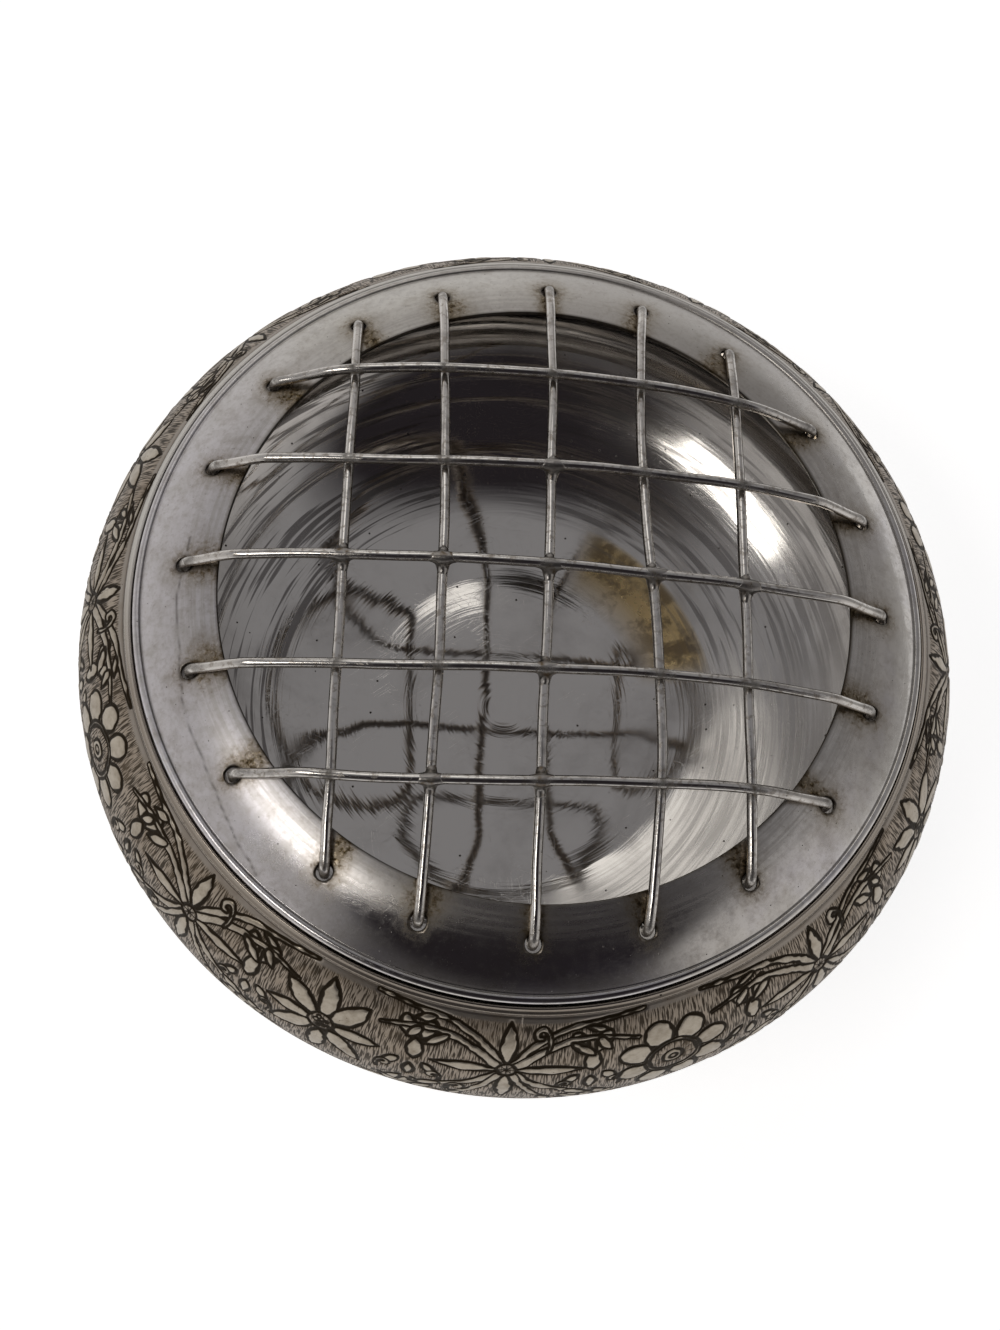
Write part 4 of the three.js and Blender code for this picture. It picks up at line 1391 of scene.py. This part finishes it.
def settings(context):
    """The scene's settings for this bowl, its lengths in mm."""
    groups = {name: getattr(context.scene, f"frogbowl_{name}") for name in GROUPS}
    for name in ("bowl", "band", "foot", "cover", "wires"):
        group = groups[name]
        groups[name] = SimpleNamespace(
            **{part: getattr(group, part) / MM for part in group.__annotations__})
    return SimpleNamespace(**groups)


class FROGBOWL_OT_bowl(bpy.types.Operator):
    """Spin the bowl, with its ledge, its lip and the recess for the engraved band"""

    bl_idname = "frogbowl.bowl"
    bl_label = "Spin the bowl"

    def execute(self, context):
        s = settings(context)
        points, faces = turned_vessel(bowl_profile(s.bowl, s.band), 360)
        new_piece("bowl_body", points, faces, bowl_finish(s.looks), "bowl", "bowl_silver",
                  ["bowl_shell"], bowl_marks(s.bowl, points))
        return {"FINISHED"}


class FROGBOWL_OT_band(bpy.types.Operator):
    """Engrave the band of flowers round the bowl's side"""

    bl_idname = "frogbowl.band"
    bl_label = "Engrave the band"

    def execute(self, context):
        s = settings(context)
        finish = band_finish(s.looks)
        for k, (points, faces, marks) in enumerate(band_plates(s.bowl, s.band)):
            new_piece(f"engraved_band_{k + 1}", points, faces, finish, "bowl", "bowl_silver",
                      ["bowl_shell"], marks, flat_blocks=(1, 2, 3))
        return {"FINISHED"}


class FROGBOWL_OT_foot(bpy.types.Operator):
    """Turn the foot ring"""

    bl_idname = "frogbowl.foot"
    bl_label = "Turn the foot ring"

    def execute(self, context):
        s = settings(context)
        finish = turned_finish("turned foot", s.looks, s.looks.silver, 0.4)
        new_piece("foot", *turned_ring(foot_profile(s.foot), 288), finish, "bowl",
                  "foot_silver", ["foot_ring"])
        return {"FINISHED"}


class FROGBOWL_OT_cover(bpy.types.Operator):
    """Spin the cover, punch its wire holes and roll its bead"""

    bl_idname = "frogbowl.cover"
    bl_label = "Spin the cover"

    def execute(self, context):
        s = settings(context)
        holes = hole_places(s.wires, s.cover)
        points, faces = cover_sheet(s.cover, holes)
        new_piece("cover", points, faces, cover_finish(s.looks), "frog_cover", "cover_silver",
                  ["cover_shell"], cover_marks(s.cover, holes, points))
        return {"FINISHED"}


class FROGBOWL_OT_collar(bpy.types.Operator):
    """Turn the collar that drops inside the bowl's ledge"""

    bl_idname = "frogbowl.collar"
    bl_label = "Turn the collar"

    def execute(self, context):
        s = settings(context)
        finish = turned_finish("turned collar", s.looks, s.looks.dull, 0.5)
        new_piece("collar", *turned_ring(collar_profile(s.cover), 288), finish, "frog_cover",
                  "collar_silver", ["cover_collar"])
        return {"FINISHED"}


class FROGBOWL_OT_wires(bpy.types.Operator):
    """Bend the ten wires over the opening and through their holes"""

    bl_idname = "frogbowl.wires"
    bl_label = "Bend the wires"

    def execute(self, context):
        s = settings(context)
        cross, long = wire_plans(s.wires, s.cover)
        finish = wire_finish(s.looks)
        places = [[crossing_of(over, under) for under in long] for over in cross]
        for kind, plans, crossings, seed in (("cross", cross, places, 10),
                                             ("long", long, list(zip(*places)), 15)):
            for k, plan in enumerate(plans):
                points, faces, marks = frog_wire(plan, s.wires, crossings[k], seed + 10 * k)
                new_piece(f"{kind}_rod_{k + 1}", points, faces, finish, "frog_cover",
                          "wire_silver", [f"{kind}_wire_{k + 1}"], marks)
        return {"FINISHED"}


class FROGBOWL_OT_solder(bpy.types.Operator):
    """Run solder into the corners of the joined crossings"""

    bl_idname = "frogbowl.solder"
    bl_label = "Solder the crossings"

    def execute(self, context):
        s = settings(context)
        cross, long = wire_plans(s.wires, s.cover)
        finish = solder_finish(s.looks)
        for name in SOLDERED:
            i, j = (int(part) - 1 for part in name.split("_"))
            new_piece(f"solder_bead_{name}", *solder_bead(cross[i], long[j], s.wires), finish,
                      "frog_cover", "solder", [f"solder_{name}"])
        return {"FINISHED"}


def turned_way(turn, x, y, z):
    """A direction turned about the upright axis."""
    c, s = np.cos(turn), np.sin(turn)
    return Vector((x * c + y * s, -x * s + y * c, z))


def place_in_scene(context, name, data):
    """A new object in the scene."""
    thing = bpy.data.objects.new(name, data)
    context.scene.collection.objects.link(thing)
    return thing


def add_camera(context, studio):
    """The camera: it looks at the aim from its height angle, turned about its line of sight."""
    tilt, roll, turn = studio.tilt, studio.roll, studio.turn
    back = turned_way(turn, 0.0, -np.cos(tilt), np.sin(tilt))
    level = turned_way(turn, 1.0, 0.0, 0.0)
    rise = turned_way(turn, 0.0, np.sin(tilt), np.cos(tilt))
    right = level * np.cos(roll) + rise * np.sin(roll)
    up = rise * np.cos(roll) - level * np.sin(roll)
    data = bpy.data.cameras.new("camera")
    data.lens = studio.lens
    data.sensor_width = 36.0
    data.clip_start = 0.01
    camera = place_in_scene(context, "camera", data)
    place = turned_way(turn, *studio.aim) + back * studio.distance
    axes = Matrix((right, up, back)).transposed().to_4x4()
    camera.matrix_world = Matrix.Translation(place) @ axes
    context.scene.camera = camera


# Where the lamps shine, and how far the floor reaches each way, in metres
LIT_POINT = (0.0, 0.0, 0.04)
FLOOR_REACH = 12.0

# The lamps: each one's place and size in metres, and its colour
LAMPS = {"window": ((-0.50, -0.30, 0.78), (0.42, 0.22), (1.0, 0.975, 0.93)),
         "fill": ((-0.18, 0.50, 0.85), (0.4, 0.4), (1.0, 0.98, 0.93))}


def add_lamp(context, name, place, size, colour, power):
    """A soft rectangular lamp that faces the lit point."""
    data = bpy.data.lights.new(name, "AREA")
    data.shape = "RECTANGLE"
    data.size, data.size_y = size
    data.energy = power
    data.color = colour
    lamp = place_in_scene(context, name, data)
    way = Vector(LIT_POINT) - Vector(place)
    lamp.rotation_euler = way.to_track_quat("-Z", "Y").to_euler()
    lamp.location = place


# Dark cloths in the room: degrees round from the near side, degrees up, the half widths in
# degrees within which each is full and beyond which it ends, and how dark it is
CLOTHS = ((-8, 57, 27, 39, 1.0), (13, 69, 7, 13, 1.0), (0, 20, 22, 44, 0.88),
          (-120, 10, 25, 50, 0.52))


def add_room(context, studio):
    """The room's light: pale at table height, grey overhead, with dark cloths."""
    world = bpy.data.worlds.new("studio")
    world.use_nodes = True
    n = Nodes(world.node_tree)
    way = n.put("TexCoord", {})["Generated"]
    height = n.parts(way)[2]
    colour = n.blend_colour(n.fade(height, 0.03, 0.24), opaque(studio.horizon),
                            opaque(studio.walls))
    colour = n.blend_colour(n.fade(height, 0.30, 0.88), colour, opaque(studio.zenith))
    for around, rise, full, end, amount in CLOTHS:
        out, up = way_of(rise)
        toward = turned_way(np.radians(around), 0.0, -out, up)
        facing = n.vectors("DOT_PRODUCT", way, toward)[1]
        dark = n.fade(facing, float(way_of(end)[0]), float(way_of(full)[0]), 0.0, amount)
        colour = n.blend_colour(dark, colour, opaque(studio.shade))
    seen = n.put("LightPath", {})["Is Camera Ray"]
    background = n.tree.nodes["Background"].inputs
    n.give(background[0], n.blend_colour(seen, colour, opaque((1.0, 1.0, 1.0))))
    background[1].default_value = studio.dimmer
    context.scene.world = world


def floor_finish(studio):
    """A pale floor that looks white in sight and in the metal, and keeps the shadow."""
    material = bpy.data.materials.new("pale floor")
    material.use_nodes = True
    n = Nodes(material.node_tree)
    shader = n.tree.nodes["Principled BSDF"]
    for name, value in (("Base Color", opaque((studio.floor_white,) * 3)), ("Roughness", 0.9),
                        ("Specular IOR Level", 0.1)):
        shader.inputs[name].default_value = value
    light = n.put("LightPath", {})
    mirrored = n.times(light["Is Glossy Ray"], studio.mirrored_floor)
    seen = n.maths("MAXIMUM", light["Is Camera Ray"],
                   n.maths("MAXIMUM", mirrored, light["Is Transmission Ray"]))
    glow = n.put("Emission", {"Color": opaque((1.0, 1.0, 1.0)),
                              "Strength": n.times(seen, studio.floor_lift)})[0]
    both = n.put("AddShader", {0: shader.outputs[0], 1: glow})[0]
    n.give(n.tree.nodes["Material Output"].inputs["Surface"], both)
    return material


class FROGBOWL_OT_stage(bpy.types.Operator):
    """Set the floor, the soft lamps, the room's light and the camera"""

    bl_idname = "frogbowl.stage"
    bl_label = "Set the stage"

    def execute(self, context):
        studio = context.scene.frogbowl_studio
        mesh = bpy.data.meshes.new("floor")
        corners = [(x * FLOOR_REACH, y * FLOOR_REACH, 0)
                   for x, y in ((-1, -1), (1, -1), (1, 1), (-1, 1))]
        mesh.from_pydata(corners, [], [(0, 1, 2, 3)])
        mesh.materials.append(floor_finish(studio))
        place_in_scene(context, "floor", mesh)
        add_camera(context, studio)
        for name, lamp in LAMPS.items():
            add_lamp(context, name, *lamp, getattr(studio, f"{name}_power"))
        add_room(context, studio)
        context.scene.view_settings.view_transform = "Standard"
        return {"FINISHED"}


class FROGBOWL_PT_panel(bpy.types.Panel):
    """The bowl's operators and settings in the sidebar"""

    bl_idname = "FROGBOWL_PT_panel"
    bl_label = "Flower frog bowl"
    bl_space_type = "VIEW_3D"
    bl_region_type = "UI"
    bl_category = "Frog Bowl"

    def draw(self, context):
        for operator in OPERATORS:
            self.layout.operator(operator.bl_idname)
        for name, kind in GROUPS.items():
            box = self.layout.box()
            box.label(text=kind.__doc__)
            for field in kind.__annotations__:
                box.prop(getattr(context.scene, f"frogbowl_{name}"), field)


GROUPS = {"bowl": BowlSizes, "band": BandSizes, "foot": FootSizes, "cover": CoverSizes,
          "wires": WireSizes, "looks": SilverLooks, "studio": StudioSettings}
OPERATORS = (FROGBOWL_OT_bowl, FROGBOWL_OT_band, FROGBOWL_OT_foot, FROGBOWL_OT_cover,
             FROGBOWL_OT_collar, FROGBOWL_OT_wires, FROGBOWL_OT_solder, FROGBOWL_OT_stage)


def register():
    """Registers the settings, the operators and the panel."""
    for kind in (*GROUPS.values(), *OPERATORS, FROGBOWL_PT_panel):
        bpy.utils.register_class(kind)
    for name, kind in GROUPS.items():
        setattr(bpy.types.Scene, f"frogbowl_{name}", bpy.props.PointerProperty(type=kind))


def unregister():
    """Removes them again."""
    for name in GROUPS:
        delattr(bpy.types.Scene, f"frogbowl_{name}")
    for kind in (FROGBOWL_PT_panel, *reversed(OPERATORS), *reversed(GROUPS.values())):
        bpy.utils.unregister_class(kind)


def main():
    """Builds the bowl and its stage."""
    register()
    bpy.ops.frogbowl.bowl()
    bpy.ops.frogbowl.band()
    bpy.ops.frogbowl.foot()
    bpy.ops.frogbowl.cover()
    bpy.ops.frogbowl.collar()
    bpy.ops.frogbowl.wires()
    bpy.ops.frogbowl.solder()
    bpy.ops.frogbowl.stage()


if __name__ == "__main__":
    main()
